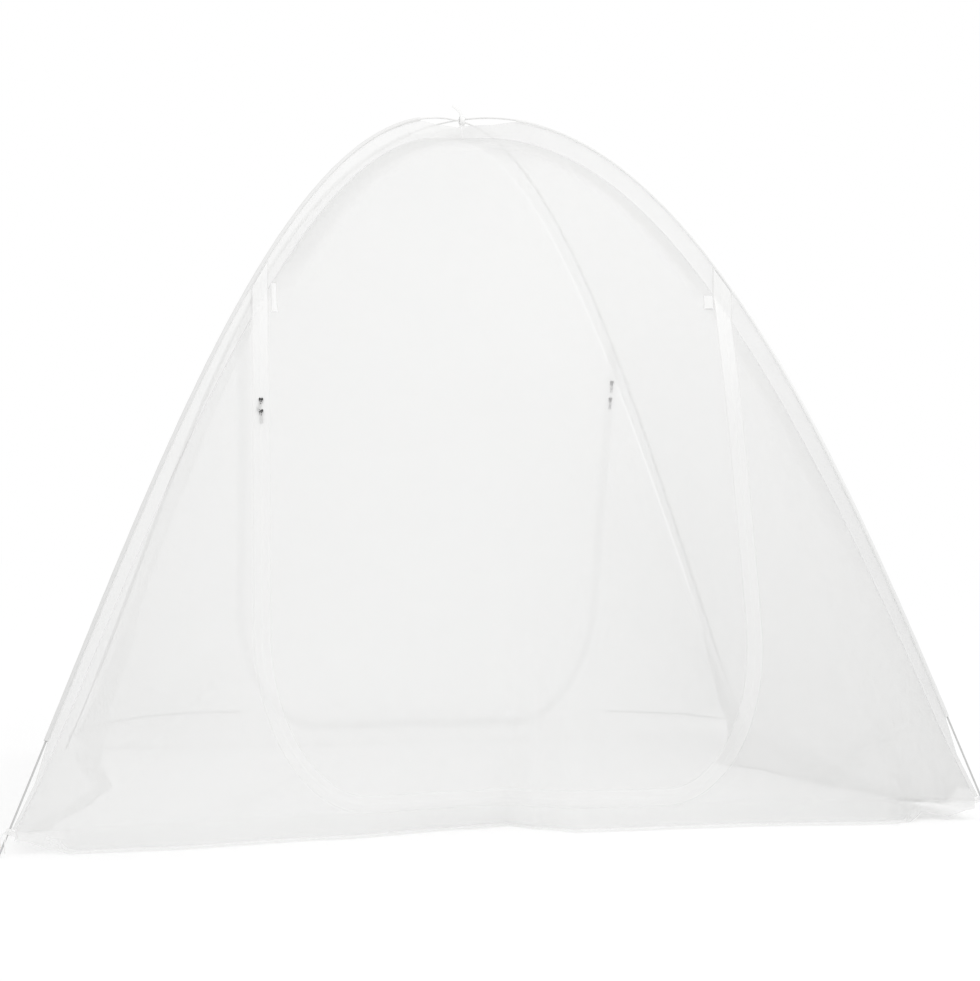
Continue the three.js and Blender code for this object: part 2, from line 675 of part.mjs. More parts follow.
// Door ties: ribbons that lie down the outside of the net
function doorTie({ at, top, length, width }) {
  const { place, outward } = canopy.front;
  const grid = [];
  for (let i = 0; i <= DOOR_TIE_STEPS; i++) {
    const height = top - (length * i) / DOOR_TIE_STEPS;
    const [left, right] = [place(0, height).x, place(1, height).x];
    grid.push([-0.5, 0.5].map((side) => {
      const share = (at + side * width - left) / (right - left);
      return place(share, height).addScaledVector(outward, DOOR_TIE_STANDOFF);
    }));
  }
  return clothSheet(grid, RIBBON_THICKNESS);
}

for (const tie of DOOR_TIES) {
  addPiece(tie.name, doorTie(tie), WHITE_TAPE);
}

// A ribbon along points of an upright plane, so wide in that plane and so deep across it
function ribbon(points, wide, deep, aside) {
  const path = new THREE.SplineCurve(points);
  const stations = Array.from({ length: points.length * 2 - 1 }, (_, i) => {
    return stationAt(path, i / (points.length * 2 - 2));
  });
  return sweep(stations, [
    [-wide / 2, aside - deep / 2],
    [wide / 2, aside - deep / 2],
    [wide / 2, aside + deep / 2],
    [-wide / 2, aside + deep / 2],
  ]);
}

// Foot ties: a band round the wire, a strap to the canopy's corner and two free ends
function footTie(leg) {
  const length = leg.bow.getLength();
  const start = SEAM_END + PIECE_GAP / length;
  const end = start + FOOT_TIE_BAND / length;
  const stations = [start, end].map((share) => stationAt(leg.bow, share));
  const band = sweep(stations, roundSection(CASING_RADIUS), roundSection(CASING_BORE_RADIUS));
  const strapOutline = [
    sleevePoint(stations[0], CASED),
    sleevePoint(stations[1], CASED),
    sleevePoint(stations[1], FOOT_TIE_STRAP),
    sleevePoint(stations[0], FOOT_TIE_STRAP),
  ];
  const strap = new THREE.ExtrudeGeometry(new THREE.Shape(strapOutline), {
    depth: RIBBON_THICKNESS,
    bevelEnabled: false,
  });
  strap.translate(0, 0, -RIBBON_THICKNESS / 2);
  const knot = stationAt(leg.bow, (start + end) / 2);
  const tails = FOOT_TIE_TAILS.map(({ side, reach, drop }) => {
    const bend = ({ out, down }) => new THREE.Vector2(reach * out, -drop * down).add(knot.point);
    return ribbon(FOOT_TAIL_BEND.map(bend), RIBBON_THICKNESS, FOOT_TAIL_WIDTH, side * CASING_RADIUS);
  });
  return joined([band, strap, ...tails]);
}

for (const [name, leg] of Object.entries(LEGS)) {
  addPiece(`foot_tie_${name}`, footTie(leg), WHITE_TAPE, uprightPlane(leg.heading));
}

// Crown tie: a band round both wires, a strap down to the sleeves and a free end, flat to the front
function crownTie() {
  const ring = new THREE.Shape();
  ring.absarc(0, 0, CROWN_TIE_BORE + CROWN_TIE_WALL, 0, 2 * Math.PI);
  ring.holes.push(new THREE.Path().absarc(0, 0, CROWN_TIE_BORE, 0, 2 * Math.PI, true));
  const band = new THREE.ExtrudeGeometry(ring, {
    depth: CROWN_TIE_WIDTH,
    bevelEnabled: false,
    curveSegments: ROUND_SIDES,
  });
  band.translate(0, 0, -CROWN_TIE_WIDTH / 2).rotateY(Math.PI / 2);
  const wall = CROWN_TIE_BORE + CROWN_TIE_WALL / 2;
  const sleeveTop = SLEEVE_SECTIONS[0].edge - (WIRE_DIAMETER + WIRE_CROSSING_GAP) / 2 - PIECE_GAP;
  const strap = new THREE.BoxGeometry(CROWN_TIE_WIDTH, sleeveTop - wall, RIBBON_THICKNESS);
  strap.translate(0, -(sleeveTop + wall) / 2, 0);
  const bend = ({ out, up }) => new THREE.Vector2(CROWN_TAIL.across * out, wall + CROWN_TAIL.rise * up);
  const tail = ribbon(CROWN_TAIL_BEND.map(bend), CROWN_TAIL.width, RIBBON_THICKNESS, 0);
  const tie = joined([band, strap, tail]);
  return tie.rotateX(Math.PI / 2);
}

addPiece('crown_tie', crownTie(), WHITE_TAPE).position.set(0, 0, CROWN_HEIGHT);

export default net;
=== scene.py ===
"""Dresses the pop-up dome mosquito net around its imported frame.

Two crossed spring wires carry four cloth sleeves, and a canopy of white net hangs from the sleeves: a plain
panel on the left and on the right, and a panel with a zipped door in front and behind. Ribbons tie the canopy
to the wires at the crown and at the feet.

Sizes are in metres in the part's own frame: +X is the width, +Y runs from the front to the back, +Z is up,
and the origin lies on the floor below the crossing of the wires.
"""

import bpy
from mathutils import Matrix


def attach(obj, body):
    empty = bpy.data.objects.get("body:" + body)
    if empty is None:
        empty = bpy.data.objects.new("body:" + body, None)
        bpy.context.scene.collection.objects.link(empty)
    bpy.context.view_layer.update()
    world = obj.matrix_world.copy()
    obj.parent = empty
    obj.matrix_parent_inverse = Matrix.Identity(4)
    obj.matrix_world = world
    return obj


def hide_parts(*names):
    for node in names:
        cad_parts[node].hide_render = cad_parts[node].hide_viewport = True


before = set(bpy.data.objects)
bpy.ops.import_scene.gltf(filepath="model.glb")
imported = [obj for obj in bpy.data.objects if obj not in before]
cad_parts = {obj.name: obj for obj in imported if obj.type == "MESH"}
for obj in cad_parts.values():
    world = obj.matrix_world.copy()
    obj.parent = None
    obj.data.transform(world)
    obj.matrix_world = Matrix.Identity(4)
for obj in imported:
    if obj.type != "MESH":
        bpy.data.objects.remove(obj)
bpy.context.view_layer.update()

import logging
from dataclasses import astuple, dataclass, field
from enum import Enum
from typing import Any, Sequence

import bmesh
import bpy
import numpy as np

LOG = logging.getLogger("dome_net")
BODY = "root"
UP = np.array([0.0, 0.0, 1.0])
CLOTH_MAP = "cloth"
LAYERS = "layers"
FROM_SEAM = "from_seam"
FROM_TUCK = "from_tuck"
WELD = 1e-6
LEAST_SHARE = 1e-6

Array = np.ndarray
Material = bpy.types.Material
Node = bpy.types.Node
NodeTree = bpy.types.NodeTree
Socket = bpy.types.NodeSocket
Colour = tuple[float, float, float]


class WireRank(Enum):
    """Which way a wire is shifted where the two wires cross at the crown."""

    LOWER = -1
    UPPER = 1


class Slot(Enum):
    """The record's material slots."""

    WIRE = "coated_wire"
    NET = "white_net"
    TAPE = "white_tape"
    RIBBON = "white_ribbon"
    ENAMEL = "black_enamel"
    METAL = "grey_metal"


@dataclass(frozen=True)
class DomeSizes:
    """Driving sizes of the frame, the sleeves and the doors."""

    base_width: float = 2.0
    base_depth: float = 1.5
    crown_height: float = 1.625
    wire_diameter: float = 0.004
    crossing_gap: float = 0.0008
    casing_bore: float = 0.003
    casing_radius: float = 0.0044
    casing_lap: float = 0.0005
    seam_standoff: float = 0.00215
    axis_clearance: float = 0.0006
    cased_from: float = 0.07
    cased_to: float = 0.893
    seam_end: float = 0.974
    canopy_top_drop: float = 0.004
    canopy_crown_reach: float = 0.006
    door_bottom: float = 0.058
    door_corner_across: float = 0.215
    door_corner_tall: float = 0.345
    zip_tape_width: float = 0.036
    hem_margin: float = 0.042
    hem_lift_to_hang: float = 0.014
    hem_fold_height: float = 0.14
    hem_end_fade: float = 0.06
    hem_turning: float = 0.016
    sag_power: float = 1.4
    floor_clearance: float = 0.00075

    @property
    def half_diagonal(self) -> float:
        """How far each foot stands from the middle."""
        return float(np.hypot(self.base_width, self.base_depth) / 2)

    @property
    def stacking(self) -> float:
        """How far each wire is shifted at the crown, so that the two pass each other."""
        return (self.wire_diameter + self.crossing_gap) / 2


SIZES = DomeSizes()


@dataclass(frozen=True)
class SleeveSection:
    """Widths of a sleeve at one share of its leg's length, measured inwards from the wire."""

    along: float
    seam: float
    edge: float


CASED_EDGE = SIZES.casing_bore + SIZES.casing_lap
SLEEVE_SECTIONS = (
    SleeveSection(0.0, 0.050, 0.017),
    SleeveSection(0.04, 0.049, 0.017),
    SleeveSection(SIZES.cased_from, 0.048, CASED_EDGE),
    SleeveSection(0.45, 0.042, CASED_EDGE),
    SleeveSection(SIZES.cased_to, 0.024, CASED_EDGE),
    SleeveSection(0.93, 0.021, 0.012),
    SleeveSection(SIZES.seam_end, 0.013, 0.005),
)


@dataclass(frozen=True)
class HemFold:
    """A fold of a hem: its place from the hem's middle, how far it is drawn in and how high it hangs."""

    at: float
    drawn_in: float
    lift: float


def hem_folds(*rows: tuple[float, float, float]) -> tuple[HemFold, ...]:
    """Lists a hem's folds, each given by its place, how far it is drawn in and its lift."""
    return tuple(HemFold(*row) for row in rows)


FRONT_HEM = hem_folds(
    (-0.965, 0.020, 0.026), (-0.900, 0.010, 0.008), (-0.860, 0.004, 0.0), (-0.700, 0.006, 0.0),
    (-0.380, 0.050, 0.0), (-0.090, 0.108, 0.0), (-0.010, 0.126, 0.0), (0.050, 0.078, 0.0),
    (0.120, 0.032, 0.0), (0.450, 0.032, 0.0), (0.780, 0.004, 0.0), (0.815, 0.016, 0.0),
    (0.865, 0.044, 0.016), (0.910, 0.048, 0.008), (0.965, 0.020, 0.024),
)
RIGHT_HEM = hem_folds(
    (-0.715, 0.025, 0.024), (-0.590, 0.008, 0.004), (-0.450, 0.040, 0.0), (-0.200, 0.128, 0.0),
    (-0.040, 0.176, 0.0), (0.133, 0.250, 0.0), (0.420, 0.120, 0.0), (0.620, 0.038, 0.008),
    (0.715, 0.025, 0.044),
)
BACK_HEM = hem_folds(
    (-0.965, 0.020, 0.008), (-0.925, 0.022, 0.0), (-0.870, 0.024, 0.0), (-0.540, 0.040, 0.0),
    (-0.300, 0.060, 0.0), (0.0, 0.040, 0.0), (0.300, 0.062, 0.0), (0.540, 0.044, 0.0),
    (0.870, 0.024, 0.0), (0.925, 0.022, 0.0), (0.965, 0.020, 0.008),
)
LEFT_HEM = hem_folds(
    (-0.715, 0.025, 0.052), (-0.640, 0.030, 0.008), (-0.560, 0.038, 0.0), (-0.400, 0.062, 0.0),
    (-0.030, 0.122, 0.0), (0.140, 0.094, 0.0), (0.460, 0.030, 0.0), (0.600, 0.014, 0.006),
    (0.715, 0.025, 0.026),
)


@dataclass(frozen=True)
class Crease:
    """A soft trough, or a ridge where its depth is negative, between two places on a panel.

    A place is (across from the panel's middle, height), and width is how far the trough spreads to each side.
    """

    start: tuple[float, float]
    end: tuple[float, float]
    depth: float
    width: float


FRONT_CREASES = (
    Crease((-0.80, 0.10), (-0.56, 0.34), 0.012, 0.035),
    Crease((-0.62, 0.02), (-0.40, 0.12), 0.010, 0.030),
    Crease((0.60, 0.03), (0.86, 0.20), 0.014, 0.030),
    Crease((0.58, 0.16), (0.80, 0.06), -0.010, 0.028),
    Crease((0.30, 0.02), (0.50, 0.10), 0.008, 0.025),
    Crease((-0.02, 0.02), (-0.10, 0.24), 0.006, 0.050),
    Crease((-0.35, 1.18), (-0.10, 1.02), 0.006, 0.060),
    Crease((0.35, 1.15), (0.12, 0.98), 0.006, 0.060),
    Crease((0.66, 0.55), (0.60, 0.95), 0.006, 0.030),
)
RIGHT_CREASES = (
    Crease((-0.46, 0.05), (-0.18, 0.42), 0.018, 0.050),
    Crease((0.02, 0.02), (0.10, 0.38), -0.014, 0.045),
    Crease((0.40, 0.04), (0.24, 0.40), 0.016, 0.050),
    Crease((-0.30, 0.90), (-0.05, 0.62), 0.008, 0.050),
)
BACK_CREASES = (
    Crease((-0.78, 0.10), (-0.56, 0.30), 0.010, 0.035),
    Crease((0.78, 0.12), (0.55, 0.32), 0.012, 0.035),
    Crease((-0.25, 1.15), (0.05, 0.95), 0.006, 0.060),
)
LEFT_CREASES = (
    Crease((-0.42, 0.04), (-0.20, 0.40), 0.016, 0.050),
    Crease((0.02, 0.02), (0.08, 0.34), -0.012, 0.045),
    Crease((0.44, 0.05), (0.22, 0.36), 0.014, 0.045),
    Crease((0.28, 0.92), (0.04, 0.66), 0.008, 0.050),
)


@dataclass(frozen=True)
class Tuck:
    """A narrow tuck in a panel's net along a line between two places (across from the middle, height)."""

    start: tuple[float, float]
    end: tuple[float, float]

    def distance(self, across: Array, height: Array) -> Array:
        """Measures from the tuck's line.

        Args:
            across: Distances from the panel's middle.
            height: Heights over the floor.

        Returns:
            How far each place lies from the line, less than 0 below it.
        """
        place = paired(across, height) - self.start
        line = np.subtract(self.end, self.start)
        part = np.clip(place @ line / (line @ line), 0, 1)
        above = np.sign(line[0] * place[..., 1] - line[1] * place[..., 0])
        return above * np.linalg.norm(place - part[..., None] * line, axis=-1)


BACK_TUCKS = (
    Tuck((-0.955, 0.040), (-0.771, 0.066)),
    Tuck((-0.771, 0.066), (-0.545, 0.080)),
    Tuck((0.520, 0.101), (0.660, 0.100)),
    Tuck((0.660, 0.100), (0.770, 0.093)),
    Tuck((0.770, 0.093), (0.960, 0.062)),
)


@dataclass(frozen=True)
class Gather:
    """Net gathered along a seam: how wide the band is, and how many layers it adds at some heights."""

    width: float
    heights: tuple[float, ...]
    layers: tuple[float, ...]

    def beside(self, away: Array, height: Array) -> Array:
        """The layers added at a distance from the seam, even across the band and soft at its edge."""
        return np.interp(height, self.heights, self.layers) * np.exp(-((away / self.width) ** 4))


FRONT_GATHERS = (
    (0, Gather(0.046, (1.08, 1.22), (0.05, 1.5))),
    (0, Gather(0.060, (0.03, 0.08), (0.8, 0.0))),
    (1, Gather(0.034, (0.50, 0.68, 1.0, 1.08, 1.14, 1.22), (0.1, 1.0, 1.0, 0.4, 0.4, 1.5))),
    (1, Gather(0.130, (0.03, 0.09), (1.6, 0.0))),
)
RIGHT_GATHERS = ((0, Gather(0.048, (0.75, 1.3), (0.1, 0.9))),)


def smoothstep(value: Array, low: Array | float, high: Array | float) -> Array:
    """A soft step: 0 up to low, 1 from high on, and 3 s^2 - 2 s^3 at a share s of the way between."""
    share = np.clip((value - low) / (np.asarray(high) - low), 0.0, 1.0)
    return share * share * (3.0 - 2.0 * share)


def unit(vectors: Array) -> Array:
    """Scales vectors to length 1 along the last axis."""
    return vectors / np.linalg.norm(vectors, axis=-1, keepdims=True)


def paired(first: Array | float, second: Array | float) -> Array:
    """Spreads two arrays to one shape and joins them along a new last axis."""
    return np.stack(np.broadcast_arrays(first, second), axis=-1)


def run_length(points: Array) -> Array:
    """How far each point of a grid lies from the first one of its run along axis 0."""
    steps = np.linalg.norm(np.diff(points, axis=0), axis=-1)
    return np.concatenate([np.zeros_like(steps[:1]), np.cumsum(steps, axis=0)])


@dataclass
class Leg:
    """One leg of a spring wire, a bow in the upright plane of its diagonal.

    In that plane a place is (reach from the crown's axis, height). The bow is a cubic curve: level where it
    leaves the crown, and straight at an angle to the floor where it meets its foot.
    """

    name: str
    across: int
    along: int
    rank: WireRank
    crown_pull: float
    foot_pull: float
    foot_angle: float
    samples: int = 600
    mark_every: int = 3

    def __post_init__(self) -> None:
        """Works out the bow and the seam line of the sleeve that hangs on it."""
        self.heading = unit(np.array([self.across * SIZES.base_width, self.along * SIZES.base_depth, 0.0]))
        self.aside = np.cross(UP, self.heading)
        crown = SIZES.crown_height + self.rank.value * SIZES.stacking
        angle = np.radians(self.foot_angle)
        foot = np.array([SIZES.half_diagonal, 0.0])
        knee = foot + self.foot_pull * np.array([-np.cos(angle), np.sin(angle)])
        corners = np.array([[0.0, crown], [self.crown_pull, crown], knee, foot])
        t = np.linspace(0.0, 1.0, self.samples)[:, None]
        shares = np.concatenate([(1 - t) ** 3, 3 * (1 - t) ** 2 * t, 3 * (1 - t) * t**2, t**3], axis=1)
        self.bow = shares @ corners
        runs = run_length(self.bow)
        self.length = float(runs[-1])
        self.shares = runs / self.length
        self.tangents = unit(np.gradient(self.bow, axis=0))
        seam = self.sleeve_point(np.linspace(0.0, SIZES.seam_end, self.samples), "seam")
        self.seam_reach, self.seam_height = seam[:, 0], seam[:, 1]
        self.marks = self.seam_height[:: self.mark_every]

    def stations(self, share: Array) -> tuple[Array, Array, Array]:
        """Reads the bow at shares of its length.

        Args:
            share: Shares from the crown, 0, to the foot, 1.

        Returns:
            The points, the directions down the wire and the normals inwards, all in the leg's plane.
        """
        point, along = (
            paired(*(np.interp(share, self.shares, column) for column in table.T))
            for table in (self.bow, self.tangents)
        )
        return point, along, paired(along[..., 1], -along[..., 0])

    def sleeve_width(self, share: Array, column: str) -> Array:
        """Reads one column of the sleeve's table at shares of the leg."""
        places = [section.along for section in SLEEVE_SECTIONS]
        return np.interp(share, places, [getattr(section, column) for section in SLEEVE_SECTIONS])

    def sleeve_point(self, share: Array, column: str) -> Array:
        """Finds the sleeve's seam or free edge.

        Args:
            share: Shares of the leg's length.
            column: The column of the sleeve's table, "seam" or "edge".

        Returns:
            Places in the leg's plane, kept clear of the crown's axis.
        """
        point, _, inwards = self.stations(share)
        place = point + inwards * self.sleeve_width(share, column)[..., None]
        place[..., 0] = np.maximum(place[..., 0], SIZES.axis_clearance)
        return place

    def upright(self, place: Array, beside: Array | float) -> Array:
        """Stands places (reach, height) of the leg's plane up in the frame, a distance beside the plane."""
        beside = np.broadcast_to(beside, place.shape[:-1])
        return place[..., :1] * self.heading + place[..., 1:] * UP + beside[..., None] * self.aside

    def tube(self, share: Array, radius: Array, sides: int) -> tuple[Array, Array]:
        """Carries a circle along the leg.

        Args:
            share: Shares of the leg's length.
            radius: The circle's radius at each of them.
            sides: How many sides the circle has.

        Returns:
            Points by station and round the wire, each circle closed on its first, and their depths inwards.
        """
        angle = np.linspace(0, 2 * np.pi, sides + 1)
        point, _, inwards = self.stations(share)
        depth = radius[:, None] * np.cos(angle)
        place = point[:, None] + inwards[:, None] * depth[..., None]
        points = self.upright(place, radius[:, None] * np.sin(angle))
        points[:, -1] = points[:, 0]
        return points, depth

    def seam_side(self, outward: Array) -> float:
        """Which side of the sleeve a panel is sewn to: the signed distance from the leg's plane."""
        return float(np.sign(self.aside @ outward)) * SIZES.seam_standoff

    def seam_edge(self, height: Array, outward: Array) -> Array:
        """Where a panel's edge lies at a height, beside the sleeve's seam."""
        reach = np.interp(height, self.seam_height[::-1], self.seam_reach[::-1])
        return self.upright(paired(reach, height), self.seam_side(outward))

    def crown_edge(self, share: Array, outward: Array) -> Array:
        """Follows the sleeve's seam over the crown.

        Args:
            share: Shares of the way from the crown, 0, to the canopy's top row, 1.
            outward: The way that the panel faces.

        Returns:
            Where the panel's edge lies.
        """
        top = SIZES.crown_height - SLEEVE_SECTIONS[0].seam - SIZES.canopy_top_drop
        far = np.interp(top, self.seam_height[::-1], self.seam_reach[::-1])
        reach = SIZES.canopy_crown_reach + share * (far - SIZES.canopy_crown_reach)
        height = np.interp(reach, self.seam_reach, self.seam_height)
        return self.upright(paired(reach, height), self.seam_side(outward))


LEGS = {
    leg.name: leg
    for leg in (
        Leg("front_left", -1, -1, WireRank.LOWER, 0.550, 0.805, 64.0),
        Leg("back_right", 1, 1, WireRank.LOWER, 0.455, 0.750, 58.0),
        Leg("front_right", 1, -1, WireRank.UPPER, 0.605, 0.780, 67.5),
        Leg("back_left", -1, 1, WireRank.UPPER, 0.635, 0.790, 61.0),
    )
}


@dataclass
class Patch:
    """A grid of points with its cloth coordinates and any further values per point."""

    points: Array
    cloth: Array
    values: dict[str, Array] = field(default_factory=dict)

    def quads(self) -> Array:
        """Numbers the corners of the grid's faces.

        Returns:
            Four corners for each face.
        """
        rows, columns = self.points.shape[:2]
        number = np.arange(rows * columns).reshape(rows, columns)
        corners = [number[:-1, :-1], number[:-1, 1:], number[1:, 1:], number[1:, :-1]]
        return np.stack(corners, axis=-1).reshape(-1, 4)

    def facing(self, way: Array) -> "Patch":
        """Turns the grid so that its faces point a given way.

        Args:
            way: A direction for the whole grid, or one for each of its points.

        Returns:
            The grid, with its columns in the other order where they had to be turned.
        """
        wide = np.diff(self.points, axis=1)[:-1]
        tall = np.diff(self.points, axis=0)[:, :-1]
        towards = np.broadcast_to(way, self.points.shape)[:-1, :-1]
        if (np.cross(wide, tall) * towards).sum() > 0:
            return self
        values = {key: value[:, ::-1] for key, value in self.values.items()}
        return Patch(self.points[:, ::-1], self.cloth[:, ::-1], values)


class Piece:
    """Builds one object of the scene from grids, and tells the frame about it."""

    def __init__(self, name: str, patches: Sequence[Patch], caps: Sequence[Array] = ()) -> None:
        """Welds the grids, and the rings that close them, into one mesh.

        Args:
            name: The piece's name.
            patches: Its grids. Points of any of them that coincide become one.
            caps: Rings of points that are closed with one face each.
        """
        self.name = name
        corners, cloth, values = self._corners(patches, caps)
        keys = np.round(corners / WELD).astype(np.int64)
        _, first, number = np.unique(keys, axis=0, return_index=True, return_inverse=True)
        quads = sum(len(patch.quads()) for patch in patches)
        picked = self._faces(number.reshape(-1), quads, [len(ring) for ring in caps])
        faces = [face for pick in picked for face in number.reshape(-1)[pick].tolist()]
        mesh = bpy.data.meshes.new(name)
        mesh.from_pydata(corners[first], [], faces, shade_flat=False)
        layer = mesh.uv_layers.new(name=CLOTH_MAP)
        unwrapped = cloth[np.concatenate([pick.ravel() for pick in picked])]
        layer.data.foreach_set("uv", unwrapped.astype(np.float32).ravel())
        for key, value in values.items():
            column = mesh.attributes.new(key, "FLOAT", "POINT")
            column.data.foreach_set("value", value[first].astype(np.float32))
        mesh.validate()
        self.object = bpy.data.objects.new(name, mesh)
        bpy.context.scene.collection.objects.link(self.object)

    @staticmethod
    def _corners(patches: Sequence[Patch], caps: Sequence[Array]) -> tuple[Array, Array, dict[str, Array]]:
        """Lists every face's corners, patch after patch and then the caps.

        Args:
            patches: The grids.
            caps: The rings that close them.

        Returns:
            The corners' points, cloth coordinates and further values.
        """
        quads = [patch.quads().ravel() for patch in patches]
        points = [patch.points.reshape(-1, 3)[quad] for patch, quad in zip(patches, quads)]
        cloth = [patch.cloth.reshape(-1, 2)[quad] for patch, quad in zip(patches, quads)]
        values = {
            key: np.concatenate(
                [patch.values[key].ravel()[quad] for patch, quad in zip(patches, quads)]
                + [np.zeros(len(ring)) for ring in caps]
            )
            for key in patches[0].values
        }
        points += list(caps)
        cloth += [ring[:, :2] for ring in caps]
        return np.concatenate(points), np.concatenate(cloth), values

    @staticmethod
    def _faces(number: Array, quads: int, rings: Sequence[int]) -> list[Array]:
        """Picks the corners of each face, less those that welding brought together.

        Args:
            number: The welded vertex of each corner.
            quads: How many four-cornered faces come first.
            rings: How many corners each cap has.

        Returns:
            The corners by face, in arrays of one size each.
        """
        corner = np.arange(4 * quads).reshape(-1, 4)
        four = number[corner]
        apart = four != np.roll(four, -1, axis=1)
        count = apart.sum(axis=1)
        whole, three = corner[count == 4], corner[count == 3][apart[count == 3]].reshape(-1, 3)
        ends = 4 * quads + np.cumsum([0, *rings])
        return [whole, three, *(np.arange(low, high)[None] for low, high in zip(ends, ends[1:]))]

    def close(self) -> "Piece":
        """Turns the faces of closed bodies outwards.

        Returns:
            The piece itself.
        """
        work = bmesh.new()
        work.from_mesh(self.object.data)
        bmesh.ops.recalc_face_normals(work, faces=work.faces)
        work.to_mesh(self.object.data)
        work.free()
        return self

    def dress(self, material: Material, slot: Slot, *nodes: str) -> bpy.types.Object:
        """Gives the piece its finish and its place in the frame.

        Args:
            material: The finish.
            slot: The record's slot that the finish stands for; not used.
            nodes: The nodes of the frame that the piece replaces.

        Returns:
            The finished object.
        """
        self.object.data.materials.append(material)
        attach(self.object, BODY)
        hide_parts(*nodes)
        LOG.info("%s: %d faces in %s", self.name, len(self.object.data.polygons), material.name)
        return self.object

    def area(self) -> float:
        """Measures the piece's mesh.

        Returns:
            Its surface.
        """
        areas = np.zeros(len(self.object.data.polygons), np.float32)
        self.object.data.polygons.foreach_get("area", areas)
        return float(areas.sum())


class NodeBoard:
    """Adds nodes to a tree and joins them."""

    def __init__(self, tree: NodeTree) -> None:
        """Takes the tree to work on."""
        self.tree = tree

    def add(self, kind: str, **settings: Any) -> Node:
        """Adds a node.

        Args:
            kind: The node's type.
            settings: Its properties.

        Returns:
            The new node.
        """
        node = self.tree.nodes.new(kind)
        for key, value in settings.items():
            setattr(node, key, value)
        return node

    def feed(self, target: Socket, source: Any) -> None:
        """Links a socket to an output, or sets it to a plain value.

        Args:
            target: The socket.
            source: The output or the value.
        """
        if isinstance(source, Socket):
            self.tree.links.new(source, target)
        else:
            target.default_value = source

    def feed_all(self, node: Node, **sources: Any) -> None:
        """Feeds several sockets of a node, each by its name with _ for a space."""
        for name, source in sources.items():
            self.feed(node.inputs[name.replace("_", " ")], source)

    def feed_shader(self, **sources: Any) -> None:
        """Feeds the sockets of the material's own shader."""
        self.feed_all(self.tree.nodes["Principled BSDF"], **sources)

    def math(self, operation: str, *values: Any) -> Socket:
        """Adds a Math node.

        Args:
            operation: What it works out.
            values: Its inputs, each a number or an output socket.

        Returns:
            Its output.
        """
        node = self.add("ShaderNodeMath", operation=operation)
        for socket, value in zip(node.inputs, values):
            self.feed(socket, value)
        return node.outputs[0]

    def split(self, vector: Socket) -> list[Socket]:
        """Splits a vector.

        Args:
            vector: The vector.

        Returns:
            Its three parts.
        """
        node = self.add("ShaderNodeSeparateXYZ")
        self.feed(node.inputs[0], vector)
        return list(node.outputs)

    def mix(self, factor: Any, low: Any, high: Any) -> Socket:
        """Mixes two numbers or two colours.

        Args:
            factor: The share of the second one.
            low: What factor 0 gives: a number, a colour or an output socket.
            high: What factor 1 gives.

        Returns:
            The mixture.
        """
        colours = isinstance(high, (tuple, bpy.types.NodeSocketColor))
        kind, first, out = ("RGBA", 6, 2) if colours else ("FLOAT", 2, 0)
        node = self.add("ShaderNodeMix", data_type=kind)
        for socket, value in zip((node.inputs[0], *node.inputs[first : first + 2]), (factor, low, high)):
            self.feed(socket, (*value, 1.0) if isinstance(value, tuple) else value)
        return node.outputs[out]

    def made(self, kind: str, sources: dict[str, Any], **settings: Any) -> Socket:
        """Adds a node and feeds it.

        Args:
            kind: The node's type.
            sources: What feeds its sockets, as for feed_all.
            settings: Its properties.

        Returns:
            Its first output.
        """
        node = self.add(kind, **settings)
        self.feed_all(node, **sources)
        return node.outputs[0]

    def ramp(self, value: Any, low: float, high: float) -> Socket:
        """A soft step from 0 where the value is low to 1 where it is high, held at both ends."""
        sources = {"Value": value, "From_Min": low, "From_Max": high}
        return self.made("ShaderNodeMapRange", sources, interpolation_type="SMOOTHSTEP")

    def ridges(self, along: Socket, pitch: float) -> Socket:
        """Rounded ridges along a line: the size of a sine wave with one hump to a pitch."""
        return self.math("ABSOLUTE", self.math("SINE", self.math("MULTIPLY", along, np.pi / pitch)))

    def place(self, group: NodeTree, **inputs: Any) -> Socket:
        """Places a node group, feeds its inputs by name and gives its output."""
        return self.made("ShaderNodeGroup", inputs, node_tree=group)

    def bump(self, height: Any, distance: float, strength: float) -> Socket:
        """Turns a height into a normal. A height of 1 stands for the distance, in metres."""
        return self.made("ShaderNodeBump", {"Height": height, "Distance": distance, "Strength": strength})


